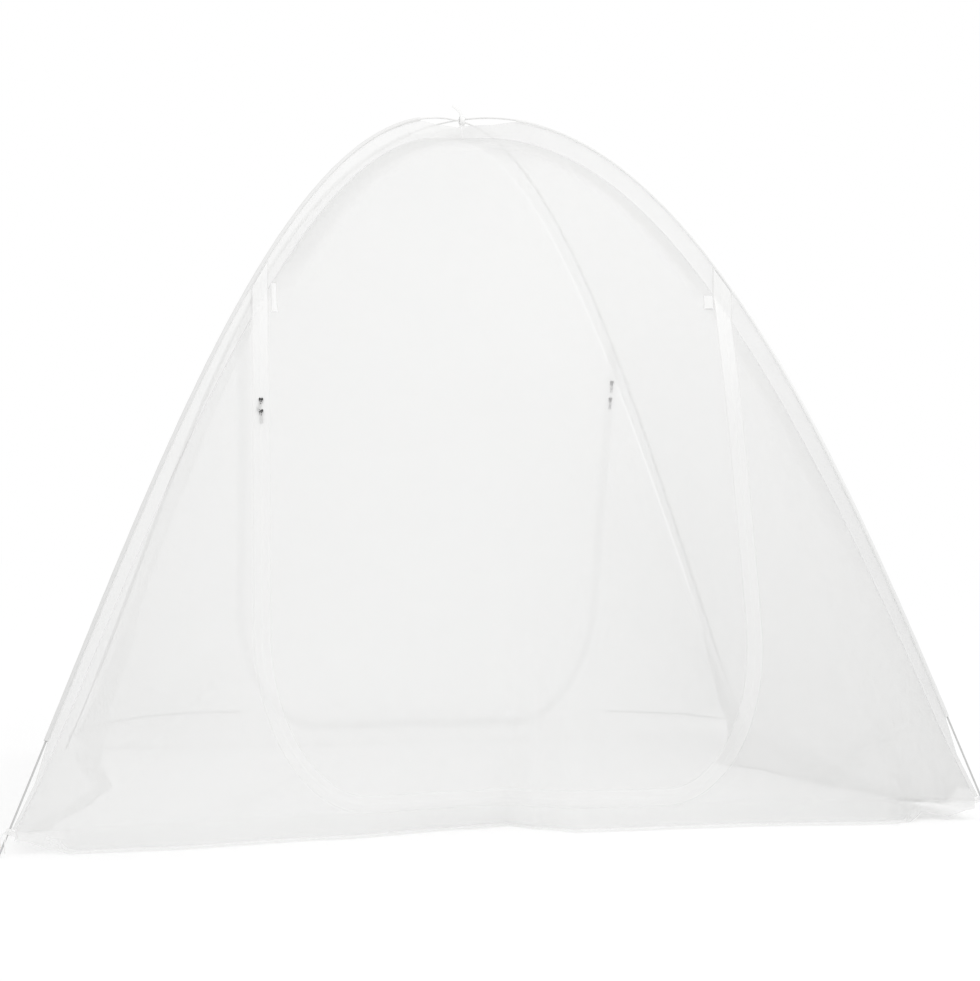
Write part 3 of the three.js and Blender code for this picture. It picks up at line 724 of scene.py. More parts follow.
class Effects:
    """Shader groups that several finishes share, each built once."""

    wander_scale: float = 70.0
    wander_detail: float = 1.0
    mesh_angles: tuple[float, ...] = (90.0, 210.0, 330.0)
    thread_from: float = -0.3
    thread_to: float = -1.3
    stitch_share: float = 0.74
    tone_detail: float = 3.0

    def __init__(self) -> None:
        """Builds the groups."""
        self.mesh = self._knitted_mesh()
        self.weave = self._plain_weave()
        self.stitch = self._stitch_row()
        self.tone = self._cloth_tone()

    @staticmethod
    def _group(
        name: str, inputs: Sequence[str], output: str
    ) -> tuple[NodeTree, NodeBoard, dict[str, Socket], Socket]:
        """Starts a group.

        Args:
            name: The group's name.
            inputs: Its inputs. The one called Vector is a vector, and the others are numbers.
            output: Its output, a number.

        Returns:
            The group, a board on it, its inputs by name and the socket that takes its result.
        """
        tree = bpy.data.node_groups.new(name, "ShaderNodeTree")
        for key in inputs:
            kind = "NodeSocketVector" if key == "Vector" else "NodeSocketFloat"
            tree.interface.new_socket(name=key, in_out="INPUT", socket_type=kind)
        tree.interface.new_socket(name=output, in_out="OUTPUT", socket_type="NodeSocketFloat")
        board = NodeBoard(tree)
        sources = board.add("NodeGroupInput")
        result = board.add("NodeGroupOutput")
        return tree, board, {key: sources.outputs[key] for key in inputs}, result.inputs[output]

    def _knitted_mesh(self) -> NodeTree:
        """Six-sided holes: three waves at 120 degrees add up to peaks, and the threads run between them.

        The place that the waves are read at wanders a little, as loops of knitted thread do.

        Returns:
            The group, whose output is 1 on a thread and 0 in a hole.
        """
        tree, board, source, result = self._group("knitted_mesh", ("Vector", "Pitch", "Wander"), "Thread")
        noise = board.add("ShaderNodeTexNoise")
        board.feed_all(noise, Vector=source["Vector"], Scale=self.wander_scale, Detail=self.wander_detail)
        drift = (board.math("SUBTRACT", part, 0.5) for part in board.split(noise.outputs["Color"])[:2])
        across, along = (
            board.math("MULTIPLY_ADD", off, source["Wander"], part)
            for off, part in zip(drift, board.split(source["Vector"]))
        )
        turn = board.math("DIVIDE", 4 * np.pi / np.sqrt(3), source["Pitch"])
        waves = []
        for angle in np.radians(self.mesh_angles):
            way = board.math(
                "ADD",
                board.math("MULTIPLY", across, float(np.cos(angle))),
                board.math("MULTIPLY", along, float(np.sin(angle))),
            )
            waves.append(board.math("COSINE", board.math("MULTIPLY", way, turn)))
        height = board.math("ADD", board.math("ADD", waves[0], waves[1]), waves[2])
        board.feed(result, board.ramp(height, self.thread_from, self.thread_to))
        return tree

    def _plain_weave(self) -> NodeTree:
        """Warp and weft that take turns on top, like the squares of a chequerboard.

        Returns:
            The group, whose output is the height of the yarns.
        """
        tree, board, source, result = self._group("plain_weave", ("Vector", "Pitch"), "Height")
        places = board.split(source["Vector"])[:2]
        across, along = (board.math("DIVIDE", part, source["Pitch"]) for part in places)
        cells = board.math("ADD", board.math("FLOOR", across), board.math("FLOOR", along))
        turn = board.math("FLOORED_MODULO", cells, 2.0)
        warp, weft = (board.ridges(part, 1.0) for part in (across, along))
        board.feed(result, board.mix(turn, warp, weft))
        return tree

    def _stitch_row(self) -> NodeTree:
        """A row of stitches: dashes along a line.

        Returns:
            The group, whose output is 1 on a stitch.
        """
        inputs = ("Along", "Across", "Length", "Width")
        tree, board, source, result = self._group("stitch_row", inputs, "Stitch")
        beat = board.math("FRACT", board.math("DIVIDE", source["Along"], source["Length"]))
        dash = board.math("LESS_THAN", beat, self.stitch_share)
        near = board.math("LESS_THAN", board.math("ABSOLUTE", source["Across"]), source["Width"])
        board.feed(result, board.math("MULTIPLY", dash, near))
        return tree

    def _cloth_tone(self) -> NodeTree:
        """A soft unevenness of cloth, in broad and in fine patches.

        Returns:
            The group, whose output runs from 0 to 1.
        """
        tree, board, source, result = self._group("cloth_tone", ("Vector", "Scale"), "Tone")
        sources = {"Vector": source["Vector"], "Scale": source["Scale"], "Detail": self.tone_detail}
        board.feed(result, board.made("ShaderNodeTexNoise", sources))
        return tree


def off_white(value: float, warmth: float = 0.005) -> Colour:
    """A white or a grey of a brightness, a touch warmer than neutral."""
    return (value, value, value - warmth)


@dataclass(frozen=True)
class Finish:
    """What every finish shares: a fresh material with one Principled shader, which shade() feeds."""

    effects: Effects
    name: str

    @staticmethod
    def start(name: str) -> tuple[Material, NodeBoard]:
        """Starts a material.

        Args:
            name: The material's name.

        Returns:
            The material and a board on its nodes.
        """
        material = bpy.data.materials.new(name)
        material.use_nodes = True
        return material, NodeBoard(material.node_tree)

    def material(self) -> Material:
        """Builds the finish.

        Returns:
            The new material.
        """
        material, board = self.start(self.name)
        self.shade(board)
        return material

    def shade(self, board: NodeBoard) -> None:
        """Feeds the shader of a new material through its board."""
        raise NotImplementedError

    @staticmethod
    def cloth_map(board: NodeBoard) -> Socket:
        """The piece's own cloth coordinates, in metres along the cloth."""
        return board.add("ShaderNodeUVMap", uv_map=CLOTH_MAP).outputs[0]

    @staticmethod
    def point_value(board: NodeBoard, name: str) -> Socket:
        """A value that the piece's mesh holds at each point."""
        return board.add("ShaderNodeAttribute", attribute_name=name).outputs["Fac"]

    @staticmethod
    def object_place(board: NodeBoard) -> Socket:
        """The place in the object's own coordinates."""
        return board.add("ShaderNodeTexCoord").outputs["Object"]

    def climb(self, board: NodeBoard, low: float, high: float) -> Socket:
        """A soft step from 0 at one height of the object to 1 at another."""
        return board.ramp(board.split(self.object_place(board))[2], low, high)

    def tone(self, board: NodeBoard, scale: float) -> Socket:
        """The soft unevenness of the object's surface, finer with a larger scale."""
        return board.place(self.effects.tone, Vector=self.object_place(board), Scale=scale)


@dataclass(frozen=True)
class NetFinish(Finish):
    """Sheer white knitted net, which looks denser where it is gathered, folded or seen aslant.

    Light passes a thread or a hole in part. Net that lies several times over, or that is crossed at an angle,
    passes that part several times over. Its folds shade each other, so gathered net is greyer as well.
    """

    dark: Colour = off_white(0.82)
    light: Colour = off_white(0.86)
    shaded: Colour = off_white(0.74)
    shaded_layers: float = 3.2
    tone_scale: float = 3.0
    pitch: float = 0.0016
    wander: float = 0.004
    through_hole: float = 0.70
    through_thread: float = 0.54
    least_cosine: float = 0.9
    tuck_layers: float = 2.0
    tuck_half_width: float = 0.005
    roughness: float = 0.85
    shine: float = 0.1

    def shade(self, board: NodeBoard) -> None:
        """Lets through what a layer passes, to the power of the layers over the cosine of the view.

        Args:
            board: The material's nodes.
        """
        cloth = self.cloth_map(board)
        thread = board.place(self.effects.mesh, Vector=cloth, Pitch=self.pitch, Wander=self.wander)
        passed = board.mix(thread, self.through_hole, self.through_thread)
        facing = board.add("ShaderNodeLayerWeight")
        board.feed_all(facing, Blend=0.5)
        cosine = board.math("SUBTRACT", 1.0, facing.outputs["Facing"])
        from_tuck = board.math("ABSOLUTE", self.point_value(board, FROM_TUCK))
        tuck = board.ramp(from_tuck, self.tuck_half_width, 0.0)
        layers = board.math("MULTIPLY_ADD", tuck, self.tuck_layers, self.point_value(board, LAYERS))
        times = board.math("DIVIDE", layers, board.math("MAXIMUM", cosine, self.least_cosine))
        plain = board.mix(self.tone(board, self.tone_scale), self.dark, self.light)
        folded = board.ramp(layers, 1.0, self.shaded_layers)
        board.feed_shader(
            Base_Color=board.mix(folded, plain, self.shaded),
            Alpha=board.math("SUBTRACT", 1.0, board.math("POWER", passed, times)),
            Roughness=self.roughness,
            Specular_IOR_Level=self.shine,
        )


@dataclass(frozen=True)
class StitchedFinish(Finish):
    """What the woven cloths share: their weave, their rows of stitches and the relief of both."""

    weave_pitch: float = 0.0009
    stitch_length: float = 0.0034
    stitch_half_width: float = 0.0005
    relief_depth: float = 0.0002
    relief_strength: float = 0.4
    shine: float = 0.2

    def weave(self, board: NodeBoard, cloth: Socket) -> Socket:
        """The height of the cloth's yarns."""
        return board.place(self.effects.weave, Vector=cloth, Pitch=self.weave_pitch)

    def stitches(self, board: NodeBoard, along: Socket, across: Socket) -> Socket:
        """A row of stitches along a line, 1 on each of them."""
        size = {"Length": self.stitch_length, "Width": self.stitch_half_width}
        return board.place(self.effects.stitch, Along=along, Across=across, **size)

    def raised(self, board: NodeBoard, relief: Socket) -> Socket:
        """The normal that the cloth's relief gives."""
        return board.bump(relief, self.relief_depth, self.relief_strength)


@dataclass(frozen=True)
class TapeFinish(StitchedFinish):
    """Thin white zip tape with a closed coil down its middle, and painted light that brightens it towards its
    top.

    It has a row of stitches along each edge, and a painted shade line in its upper part where it is folded
    over on the door's side. Its cover is what it keeps back of the light.
    """

    dark: Colour = off_white(0.845)
    light: Colour = off_white(0.875)
    # The painted light at the tape's top, and the heights over which it comes in.
    painted_top_light: Colour = off_white(0.93)
    painted_top_light_from: float = 0.8
    painted_top_light_to: float = 1.25
    tone_scale: float = 9.0
    # The painted shade along the folded door-side edge.
    fold: Colour = off_white(0.79)
    fold_from: float = 0.0034
    fold_to: float = 0.0004
    cover: float = 0.88
    low_cover: float = 0.6
    edge_cover: float = 0.38
    core_half_width: float = 0.0145
    coil_half_width: float = 0.0026
    tooth_pitch: float = 0.0016
    stitch_from_middle: float = 0.0155
    roughness: float = 0.82
    coil_roughness: float = 0.6

    def shade(self, board: NodeBoard) -> None:
        """Paints light onto the tape upwards, and thins it from its core towards its edges.

        Args:
            board: The material's nodes.
        """
        cloth = self.cloth_map(board)
        along, across, _ = board.split(cloth)
        off_middle = board.math("ABSOLUTE", across)
        stitch = self.stitches(board, along, board.math("SUBTRACT", off_middle, self.stitch_from_middle))
        coil = board.math("LESS_THAN", off_middle, self.coil_half_width)
        cloth_and_coil = board.mix(coil, self.weave(board, cloth), board.ridges(along, self.tooth_pitch))
        # Painted light: high brightens the tape's colour, and raises its cover, towards its top.
        high = self.climb(board, self.painted_top_light_from, self.painted_top_light_to)
        toned = board.mix(self.tone(board, self.tone_scale), self.dark, self.light)
        plain = board.mix(high, toned, self.painted_top_light)
        half = SIZES.zip_tape_width / 2
        # Painted shade: a darker line along the door-side edge, in the upper part only.
        folded = board.math("MULTIPLY", board.ramp(across, self.fold_from - half, self.fold_to - half), high)
        core = board.ramp(off_middle, half, self.core_half_width)
        cover = board.mix(high, self.low_cover, self.cover)
        board.feed_shader(
            Base_Color=board.mix(folded, plain, self.fold),
            Roughness=board.mix(coil, self.roughness, self.coil_roughness),
            Normal=self.raised(board, board.math("ADD", cloth_and_coil, stitch)),
            Alpha=board.mix(core, self.edge_cover, cover),
            Specular_IOR_Level=self.shine,
        )


@dataclass(frozen=True)
class SleeveFinish(StitchedFinish):
    """Sheer white sleeve cloth, stitched below the wire's casing and above the canopy's seam.

    It is painted lighter towards the crown, painted light for how light falls on its upper part. Its cover is
    what it keeps back of the light. The casing lies double, and keeps all of it back.
    """

    weave_pitch: float = 0.0007
    stitch_length: float = 0.0036
    # Painted light: the fin's and the casing's colours low down and towards the crown.
    low: Colour = off_white(0.70)
    high: Colour = off_white(0.85)
    casing_low: Colour = off_white(0.74)
    casing_high: Colour = off_white(0.86)
    lighter_from: float = 0.2
    lighter_to: float = 1.45
    tone_scale: float = 11.0
    cover: float = 0.65
    seam_fade: float = 0.004
    casing_stitch: float = 0.0075
    seam_stitch: float = 0.005
    smooth: float = 0.75
    rough: float = 0.9

    def shade(self, board: NodeBoard) -> None:
        """Paints light onto the cloth upwards, and parts the fin from the casing by their depth under the
        wire.

        Args:
            board: The material's nodes.
        """
        cloth = self.cloth_map(board)
        along, depth, _ = board.split(cloth)
        # Painted light: the cloth is painted lighter towards the crown.
        painted_light = self.climb(board, self.lighter_from, self.lighter_to)
        from_seam = self.point_value(board, FROM_SEAM)
        rows = (
            self.stitches(board, along, board.math("SUBTRACT", line, row))
            for line, row in ((depth, self.casing_stitch), (from_seam, self.seam_stitch))
        )
        relief = board.math("ADD", self.weave(board, cloth), board.math("ADD", *rows))
        over_wire = board.math("LESS_THAN", depth, SIZES.casing_radius)
        plain = board.mix(painted_light, self.low, self.high)
        casing = board.mix(painted_light, self.casing_low, self.casing_high)
        cover = board.math("MULTIPLY", board.ramp(from_seam, -self.seam_fade, self.seam_fade), self.cover)
        board.feed_shader(
            Base_Color=board.mix(over_wire, plain, casing),
            Roughness=board.mix(self.tone(board, self.tone_scale), self.smooth, self.rough),
            Alpha=board.math("MAXIMUM", over_wire, cover),
            Normal=self.raised(board, relief),
            Specular_IOR_Level=self.shine,
        )


@dataclass(frozen=True)
class TonedFinish(Finish):
    """What ribbon, wire and cast metal share: a colour and a roughness that vary with the tone."""

    dark: Colour = off_white(0.88)
    light: Colour = off_white(0.92)
    smooth: float = 0.45
    rough: float = 0.6
    tone_scale: float = 60.0

    def shade(self, board: NodeBoard) -> None:
        """Takes the colour and the roughness from the tone.

        Args:
            board: The material's nodes.
        """
        tone = self.tone(board, self.tone_scale)
        colour = self.toned(board, board.mix(tone, self.dark, self.light))
        board.feed_shader(Base_Color=colour, Roughness=board.mix(tone, self.smooth, self.rough))

    def toned(self, board: NodeBoard, colour: Socket) -> Socket:
        """The colour as the finish tones it, which is unchanged unless the finish has a toning of its own."""
        return colour


@dataclass(frozen=True)
class RibbonFinish(TonedFinish):
    """Narrow white ribbon with fine ribs across it."""

    rib_pitch: float = 0.0008
    rib_height: float = 0.0002
    rib_strength: float = 0.5

    def shade(self, board: NodeBoard) -> None:
        """Adds the ribs to the tone.

        Args:
            board: The material's nodes.
        """
        super().shade(board)
        ribs = board.ridges(board.split(self.cloth_map(board))[0], self.rib_pitch)
        board.feed_shader(Normal=board.bump(ribs, self.rib_height, self.rib_strength))


@dataclass(frozen=True)
class WireFinish(TonedFinish):
    """Spring wire under a thin pale coat, darker towards its feet, and uneven where it has been handled."""

    dark: Colour = off_white(0.76)
    light: Colour = off_white(0.84)
    smooth: float = 0.28
    rough: float = 0.48
    tone_scale: float = 18.0
    foot: Colour = off_white(0.55)
    lighter_from: float = 0.2
    lighter_to: float = 1.4
    grain_scale: float = 900.0
    grain_height: float = 0.0001
    grain_strength: float = 0.3

    def shade(self, board: NodeBoard) -> None:
        """Adds a fine grain to the tone.

        Args:
            board: The material's nodes.
        """
        super().shade(board)
        grain = self.tone(board, self.grain_scale)
        board.feed_shader(Normal=board.bump(grain, self.grain_height, self.grain_strength))

    def toned(self, board: NodeBoard, colour: Socket) -> Socket:
        """The coat's colour, duller downwards."""
        return board.mix(self.climb(board, self.lighter_from, self.lighter_to), self.foot, colour)


@dataclass(frozen=True)
class CastFinish(TonedFinish):
    """Small cast metal under enamel or lacquer, a little uneven from handling."""

    smooth: float = 0.3
    rough: float = 0.5
    tone_scale: float = 240.0


@dataclass
class SpringWire:
    """A wire from a front foot over the crown to the opposite back foot."""

    name: str
    front: Leg
    back: Leg
    steps: int = 160
    sides: int = 16

    def build(self, material: Material, node: str) -> None:
        """Carries a circle along both legs, and at each foot slides the last one along the wire to the floor.

        Args:
            material: The wire's finish.
            node: The node that the wire replaces.
        """
        front, back = self._tube(self.front), self._tube(self.back)
        mirrored = np.roll(front[:0:-1, ::-1], 1, axis=1)
        rings = np.concatenate([mirrored, back])
        closed = np.concatenate([rings, rings[:, :1]], axis=1)
        around = np.linspace(0, np.pi * SIZES.wire_diameter, self.sides + 1)
        patch = Patch(closed, paired(run_length(closed), around))
        Piece(self.name, [patch], [rings[0], rings[-1]]).close().dress(material, Slot.WIRE, node)

    def _tube(self, leg: Leg) -> Array:
        """Rings of points round one leg.

        Args:
            leg: The leg.

        Returns:
            Points by station from the crown to the foot, and round the wire.
        """
        share = np.linspace(0.0, 1.0, self.steps + 1)
        points = leg.tube(share, np.full(share.shape, SIZES.wire_diameter / 2), self.sides)[0][:, :-1]
        down = leg.upright(leg.stations(share[-1])[1], 0.0)
        points[-1] -= points[-1, :, 2:] / down[2] * down
        return points


@dataclass
class WireSleeve:
    """A cloth sleeve on one leg: a flat fin down to the canopy's seam, and a casing round the wire."""

    leg: Leg
    steps: int = 220
    across: int = 10
    sides: int = 14
    seam_allowance: float = 0.004
    wave: float = 0.0011
    wave_length: float = 0.13
    side_wave: float = 0.6
    side_turn: float = 5.3
    side_start: float = 1.0
    casing_unevenness: float = 0.05
    casing_beats: tuple[float, float] = (90.0, 37.0)
    cut_share: float = 1.25

    def build(self, material: Material) -> None:
        """Args:
            material: The sleeve cloth.
        """
        piece = Piece(f"sleeve_{self.leg.name}", [self._fin(), self._casing()])
        sleeve = piece.dress(material, Slot.TAPE, f"wire_sleeve_{self.leg.name}")
        cloth = piece.area()

    def _fin(self) -> Patch:
        """A strip from the free edge to just past the seam, with a slight wave that fades towards both.

        Returns:
            The strip.
        """
        leg = self.leg
        share = np.linspace(0.0, SIZES.seam_end, self.steps + 1)
        cased = (share >= SIZES.cased_from) & (share <= SIZES.cased_to)
        seam = leg.sleeve_width(share, "seam")
        edge = np.where(cased, SIZES.casing_radius, leg.sleeve_width(share, "edge"))
        down = np.linspace(0.0, 1.0, self.across + 1)
        depth = edge[:, None] + (seam + self.seam_allowance - edge)[:, None] * down
        point, _, inwards = leg.stations(share)
        place = point[:, None] + inwards[:, None] * depth[..., None]
        place[..., 0] = np.maximum(place[..., 0], SIZES.axis_clearance)
        runs = share * leg.length
        waves = runs / self.wave_length
        sway = np.sin(2 * np.pi * waves) + self.side_wave * np.sin(self.side_turn * waves + self.side_start)
        beside = self.wave * sway[:, None] * 4 * down * (1 - down)
        values = {FROM_SEAM: seam[:, None] - depth}
        return Patch(leg.upright(place, beside), paired(runs[:, None], depth), values).facing(leg.aside)

    def _casing(self) -> Patch:
        """A tube of cloth round the wire, a little uneven along its length.

        Returns:
            The tube.
        """
        leg = self.leg
        share = np.linspace(SIZES.cased_from, SIZES.cased_to, self.steps + 1)
        runs = share * leg.length
        first, second = (np.sin(beat * runs) for beat in self.casing_beats)
        radius = SIZES.casing_radius * (1 + self.casing_unevenness * first * second)
        points, depth = leg.tube(share, radius, self.sides)
        patch = Patch(points, paired(runs[:, None], depth), {FROM_SEAM: np.ones(depth.shape)})
        return patch.facing(points - leg.upright(leg.stations(share)[0], 0.0)[:, None])


@dataclass
class CanopyPanel:
    """A panel of the canopy between two neighbouring legs, seen from outside.

    Its net is straight between the two seams at each height, less its sag, which deepens downwards, less the
    folds of its hem, which fade upwards, and less its creases.
    """

    name: str
    first: Leg
    last: Leg
    outward: Array
    sag: float
    hem: Sequence[HemFold]
    creases: Sequence[Crease]
    columns: int = 120
    rows: int = 110
    hem_rows: int = 8
    crown_rows: int = 10
    crowding: float = 1.5
    fullness: float = 0.3
    side_fullness: float = 0.0
    fullness_power: float = 1.2
    gathers: Sequence[tuple[int, Gather]] = ()
    low_fullness: float = 1.0
    turned_hem: float = 0.25
    hem_thinning: float = 0.5
    hem_thin_over: float = 0.005
    turning_edge: float = 0.001
    low_band: float = 0.09
    least_width: float = 0.01
    crease_fade: tuple[float, float] = (0.15, 0.3)
    tucks: Sequence[Tuck] = ()

    def __post_init__(self) -> None:
        """Works out the panel's directions and reads its hem's table into columns."""
        self.legs = (self.first, self.last)
        self.across = np.array([-self.outward[1], self.outward[0], 0.0])
        self.top = SIZES.crown_height - SLEEVE_SECTIONS[0].seam
        self.top_row = self.top - SIZES.canopy_top_drop
        self.feet = SIZES.half_diagonal * abs(float(self.first.heading @ self.outward))
        self.places, self.drawn_in, self.lifts = np.array([astuple(fold) for fold in self.hem]).T

    def folds(self, values: Array, share: Array) -> Array:
        """Reads a column of the hem's table, with soft crests and troughs at its rows.

        Args:
            values: The column.
            share: Places across the panel, from 0 to 1.

        Returns:
            The column's values at those places.
        """
        at = self.places[0] + share * (self.places[-1] - self.places[0])
        row = np.clip(np.searchsorted(self.places, at), 1, len(self.places) - 1)
        step = smoothstep(at, self.places[row - 1], self.places[row])
        return values[row - 1] + step * (values[row] - values[row - 1])

    def lying(self, share: Array) -> Array:
        """How far the hem lies on the floor, from 0 where it hangs to 1."""
        return 1 - smoothstep(self.folds(self.lifts, share), 0.0, SIZES.hem_lift_to_hang)

    def hem_bend(self, share: Array) -> Array:
        """The height at which the hem's last stretch begins."""
        lift = np.maximum(SIZES.floor_clearance, self.folds(self.lifts, share))
        return lift + SIZES.hem_margin * (1 - self.lying(share))

    def sides(self, height: Array) -> tuple[Array, Array]:
        """How far across the two seams lie at a height."""
        first, last = (leg.seam_edge(height, self.outward) @ self.across for leg in self.legs)
        return first, last

    def share_at(self, across: Array, height: Array) -> Array:
        """The share across the panel of a place that is given by its distance from the middle."""
        first, last = self.sides(height)
        return (across - first) / (last - first)

    def from_seam(self, leg: Leg, across: Array, height: Array) -> Array:
        """How far places lie from the nearest of a seam's marks, as the panel is seen from in front."""
        seam = paired(leg.seam_edge(leg.marks, self.outward) @ self.across, leg.marks)
        return np.linalg.norm(paired(across, height)[..., None, :] - seam, axis=-1).min(axis=-1)

    def relief(self, across: Array, height: Array) -> Array:
        """Adds up the creases: each is a bell across its line and fades towards the line's ends.

        Args:
            across: Distances from the panel's middle.
            height: Heights over the floor.

        Returns:
            How far the net is drawn in.
        """
        depth = np.zeros(np.broadcast(across, height).shape)
        past, within = self.crease_fade
        for crease in self.creases:
            start, end = np.array(crease.start), np.array(crease.end)
            line = end - start
            along = ((across - start[0]) * line[0] + (height - start[1]) * line[1]) / (line @ line)
            nearest = np.clip(along, 0, 1)
            off = np.hypot(across - start[0] - nearest * line[0], height - start[1] - nearest * line[1])
            ends = smoothstep(along, -past, within) * (1 - smoothstep(along, 1 - within, 1 + past))
            depth = depth + crease.depth * np.exp(-((off / crease.width) ** 2)) * ends
        return depth

    def place(self, share: Array, height: Array) -> Array:
        """Finds points of the panel.

        Args:
            share: Places across the panel, from 0 at its first seam to 1 at its last.
            height: Heights over the floor.

        Returns:
            Points in the frame.
        """
        share, height = np.broadcast_arrays(share, height)
        floor = np.zeros_like(height)
        part = share[..., None]
        start, end = (leg.seam_edge(height, self.outward) for leg in self.legs)
        straight = start + part * (end - start)
        low = [leg.seam_edge(floor, self.outward) @ self.outward for leg in self.legs]
        bottom = low[0] + share * (low[1] - low[0])
        smooth = self.sag * 4 * share * (1 - share)
        edge = self.feet - self.folds(self.drawn_in, share)
        folds = bottom - edge + SIZES.hem_margin * self.lying(share) - smooth
        hang = np.clip(1 - height / self.top, 0, 1) ** SIZES.sag_power
        ends = smoothstep(np.minimum(share, 1 - share), 0.0, SIZES.hem_end_fade)
        inset = smooth * hang + folds * ends * np.exp(-height / SIZES.hem_fold_height)
        inset = inset + self.relief(straight @ self.across, height) * ends
        return straight - inset[..., None] * self.outward

    def normal(self, share: Array, height: Array, step: float = 0.002) -> Array:
        """The panel's outward normals, from points a step to each side."""
        wide, tall = (
            self.place(share + aside, height + above) - self.place(share - aside, height - above)
            for aside, above in ((step, 0.0), (0.0, step))
        )
        return unit(np.cross(wide, tall))

    def density(self, points: Array, hem: Array | float = 0.0) -> Array:
        """How many times over the net lies: fuller downwards, gathered at the seams, turned over at the hem.

        Args:
            points: Points of the panel.
            hem: How far along the hem's last stretch each point lies.

        Returns:
            The net's density, 1 for a single layer.
        """
        height = points[..., 2]
        first, last = self.sides(height)
        across = points @ self.across
        gathered = np.zeros(height.shape)
        for side, gather in self.gathers:
            away = self.from_seam(self.legs[side], across, height)
            gathered = gathered + gather.beside(away, height)
        turning = SIZES.hem_margin - SIZES.hem_turning
        turned = smoothstep(np.broadcast_to(hem, height.shape), turning - self.turning_edge, turning)
        aside = np.clip((2 * across - first - last) / np.maximum(last - first, self.least_width), -1, 1) ** 2
        downwards = np.clip(1 - height / self.top, 0, 1) ** self.fullness_power
        low = self.low_fullness + (1 - self.low_fullness) * smoothstep(height, 0.0, self.low_band)
        slack = (self.fullness + self.side_fullness * aside) * downwards * low
        thinned = smoothstep(np.broadcast_to(hem, height.shape), 0.0, self.hem_thin_over)
        kept = 1 - self.hem_thinning * thinned
        return (1.0 + slack + gathered) * kept + self.turned_hem * turned

    def from_tuck(self, points: Array) -> Array:
        """Measures from the nearest tuck.

        Args:
            points: Points of the panel.

        Returns:
            The signed distance of each, or 1 m where there is no tuck.
        """
        across, height = points @ self.across, points[..., 2]
        away = np.stack([np.ones(height.shape)] + [tuck.distance(across, height) for tuck in self.tucks])
        return np.take_along_axis(away, np.abs(away).argmin(axis=0)[None], axis=0)[0]

    def crown_grid(self, share: Array) -> Array:
        """Closes the panel over the crown.

        Args:
            share: Places across the panel.

        Returns:
            Rows of points from the crown down to the canopy's top row, which isn't among them.
        """
        part = np.linspace(0.0, 1.0, self.crown_rows, endpoint=False)
        start, end = (leg.crown_edge(part, self.outward)[:, None] for leg in self.legs)
        return start + share[None, :, None] * (end - start)

    def hem_grid(self, share: Array, top: Array) -> tuple[Array, Array]:
        """Rows from a line near the floor down to the hem's edge, flat on the floor where it lies there.

        Args:
            share: Places across the panel.
            top: The height of the line that the rows start from, at each place.

        Returns:
            The rows of points, and how far along the hem's last stretch each lies.
        """
        lying = self.lying(share)
        bend = np.minimum(self.hem_bend(share), top)
        hanging = np.maximum(1 - lying, LEAST_SHARE)
        begun = np.clip((self.hem_bend(share) - top) / hanging, 0.0, SIZES.hem_margin)
        upright = top - bend
        run = np.linspace(0.0, 1.0, self.hem_rows + 1)[:, None] * (upright + SIZES.hem_margin - begun)
        past = np.maximum(run - upright, 0.0)
        height = np.maximum(top - np.minimum(run, upright) - past * (1 - lying), SIZES.floor_clearance)
        points = self.place(np.broadcast_to(share, height.shape), height)
        return points + (past * lying)[..., None] * self.outward, begun + past

    def patch(self, points: Array, hem: Array | float = 0.0) -> Patch:
        """Makes a patch of net.

        Args:
            points: A grid of the panel's points.
            hem: How far along the hem's last stretch each point lies.

        Returns:
            The patch, mapped by the distance across the panel and along the cloth from the top.
        """
        cloth = paired(points @ self.across, run_length(points))
        values = {LAYERS: self.density(points, hem), FROM_TUCK: self.from_tuck(points)}
        return Patch(points, cloth, values).facing(self.outward + 0.5 * UP)

    def whole_patch(self) -> Patch:
        """Lays rows from the crown to the hem, closer together near the top.

        Returns:
            The whole panel.
        """
        share = np.linspace(0.0, 1.0, self.columns + 1)
        bottom = self.hem_bend(share)
        climb = np.cos(np.linspace(0, np.pi / 2, self.rows + 1))[:, None] ** self.crowding
        body = self.place(share, bottom + climb * (self.top_row - bottom))
        hem, past = self.hem_grid(share, bottom)
        points = np.concatenate([self.crown_grid(share), body, hem[1:]])
        turned = np.concatenate([np.zeros((self.crown_rows + self.rows + 1, len(share))), past[1:]])
        return self.patch(points, turned)

    def build(self, material: Material) -> None:
        """Builds a panel of one piece."""
        self.hang_net(f"canopy_{self.name}", self.whole_patch(), material, f"{self.name}_net")

    def hang_net(self, name: str, patch: Patch, material: Material, node: str) -> None:
        """Args:
            name: The piece's name.
            patch: Its grid.
            material: The net.
            node: The node that it replaces.
        """
        piece = Piece(name, [patch])
        panel = piece.dress(material, Slot.NET, node)
        width = run_length(patch.points.swapaxes(0, 1))[-1].max()
        length = run_length(patch.points)[-1, patch.points.shape[1] // 2]
        self.hang(panel, (float(width), float(length)), piece.area())

    def hang(self, piece: bpy.types.Object, flat: tuple[float, float], area: float) -> None:
        """Takes a piece of cloth hung between the panel's two sleeves, and does nothing with it."""


TAPE_COLUMNS = (-1, -0.97, -0.8, -0.55, -0.3, -0.17, -0.1, -0.05, 0, 0.05, 0.1, 0.17, 0.3, 0.55, 0.8, 0.97, 1)


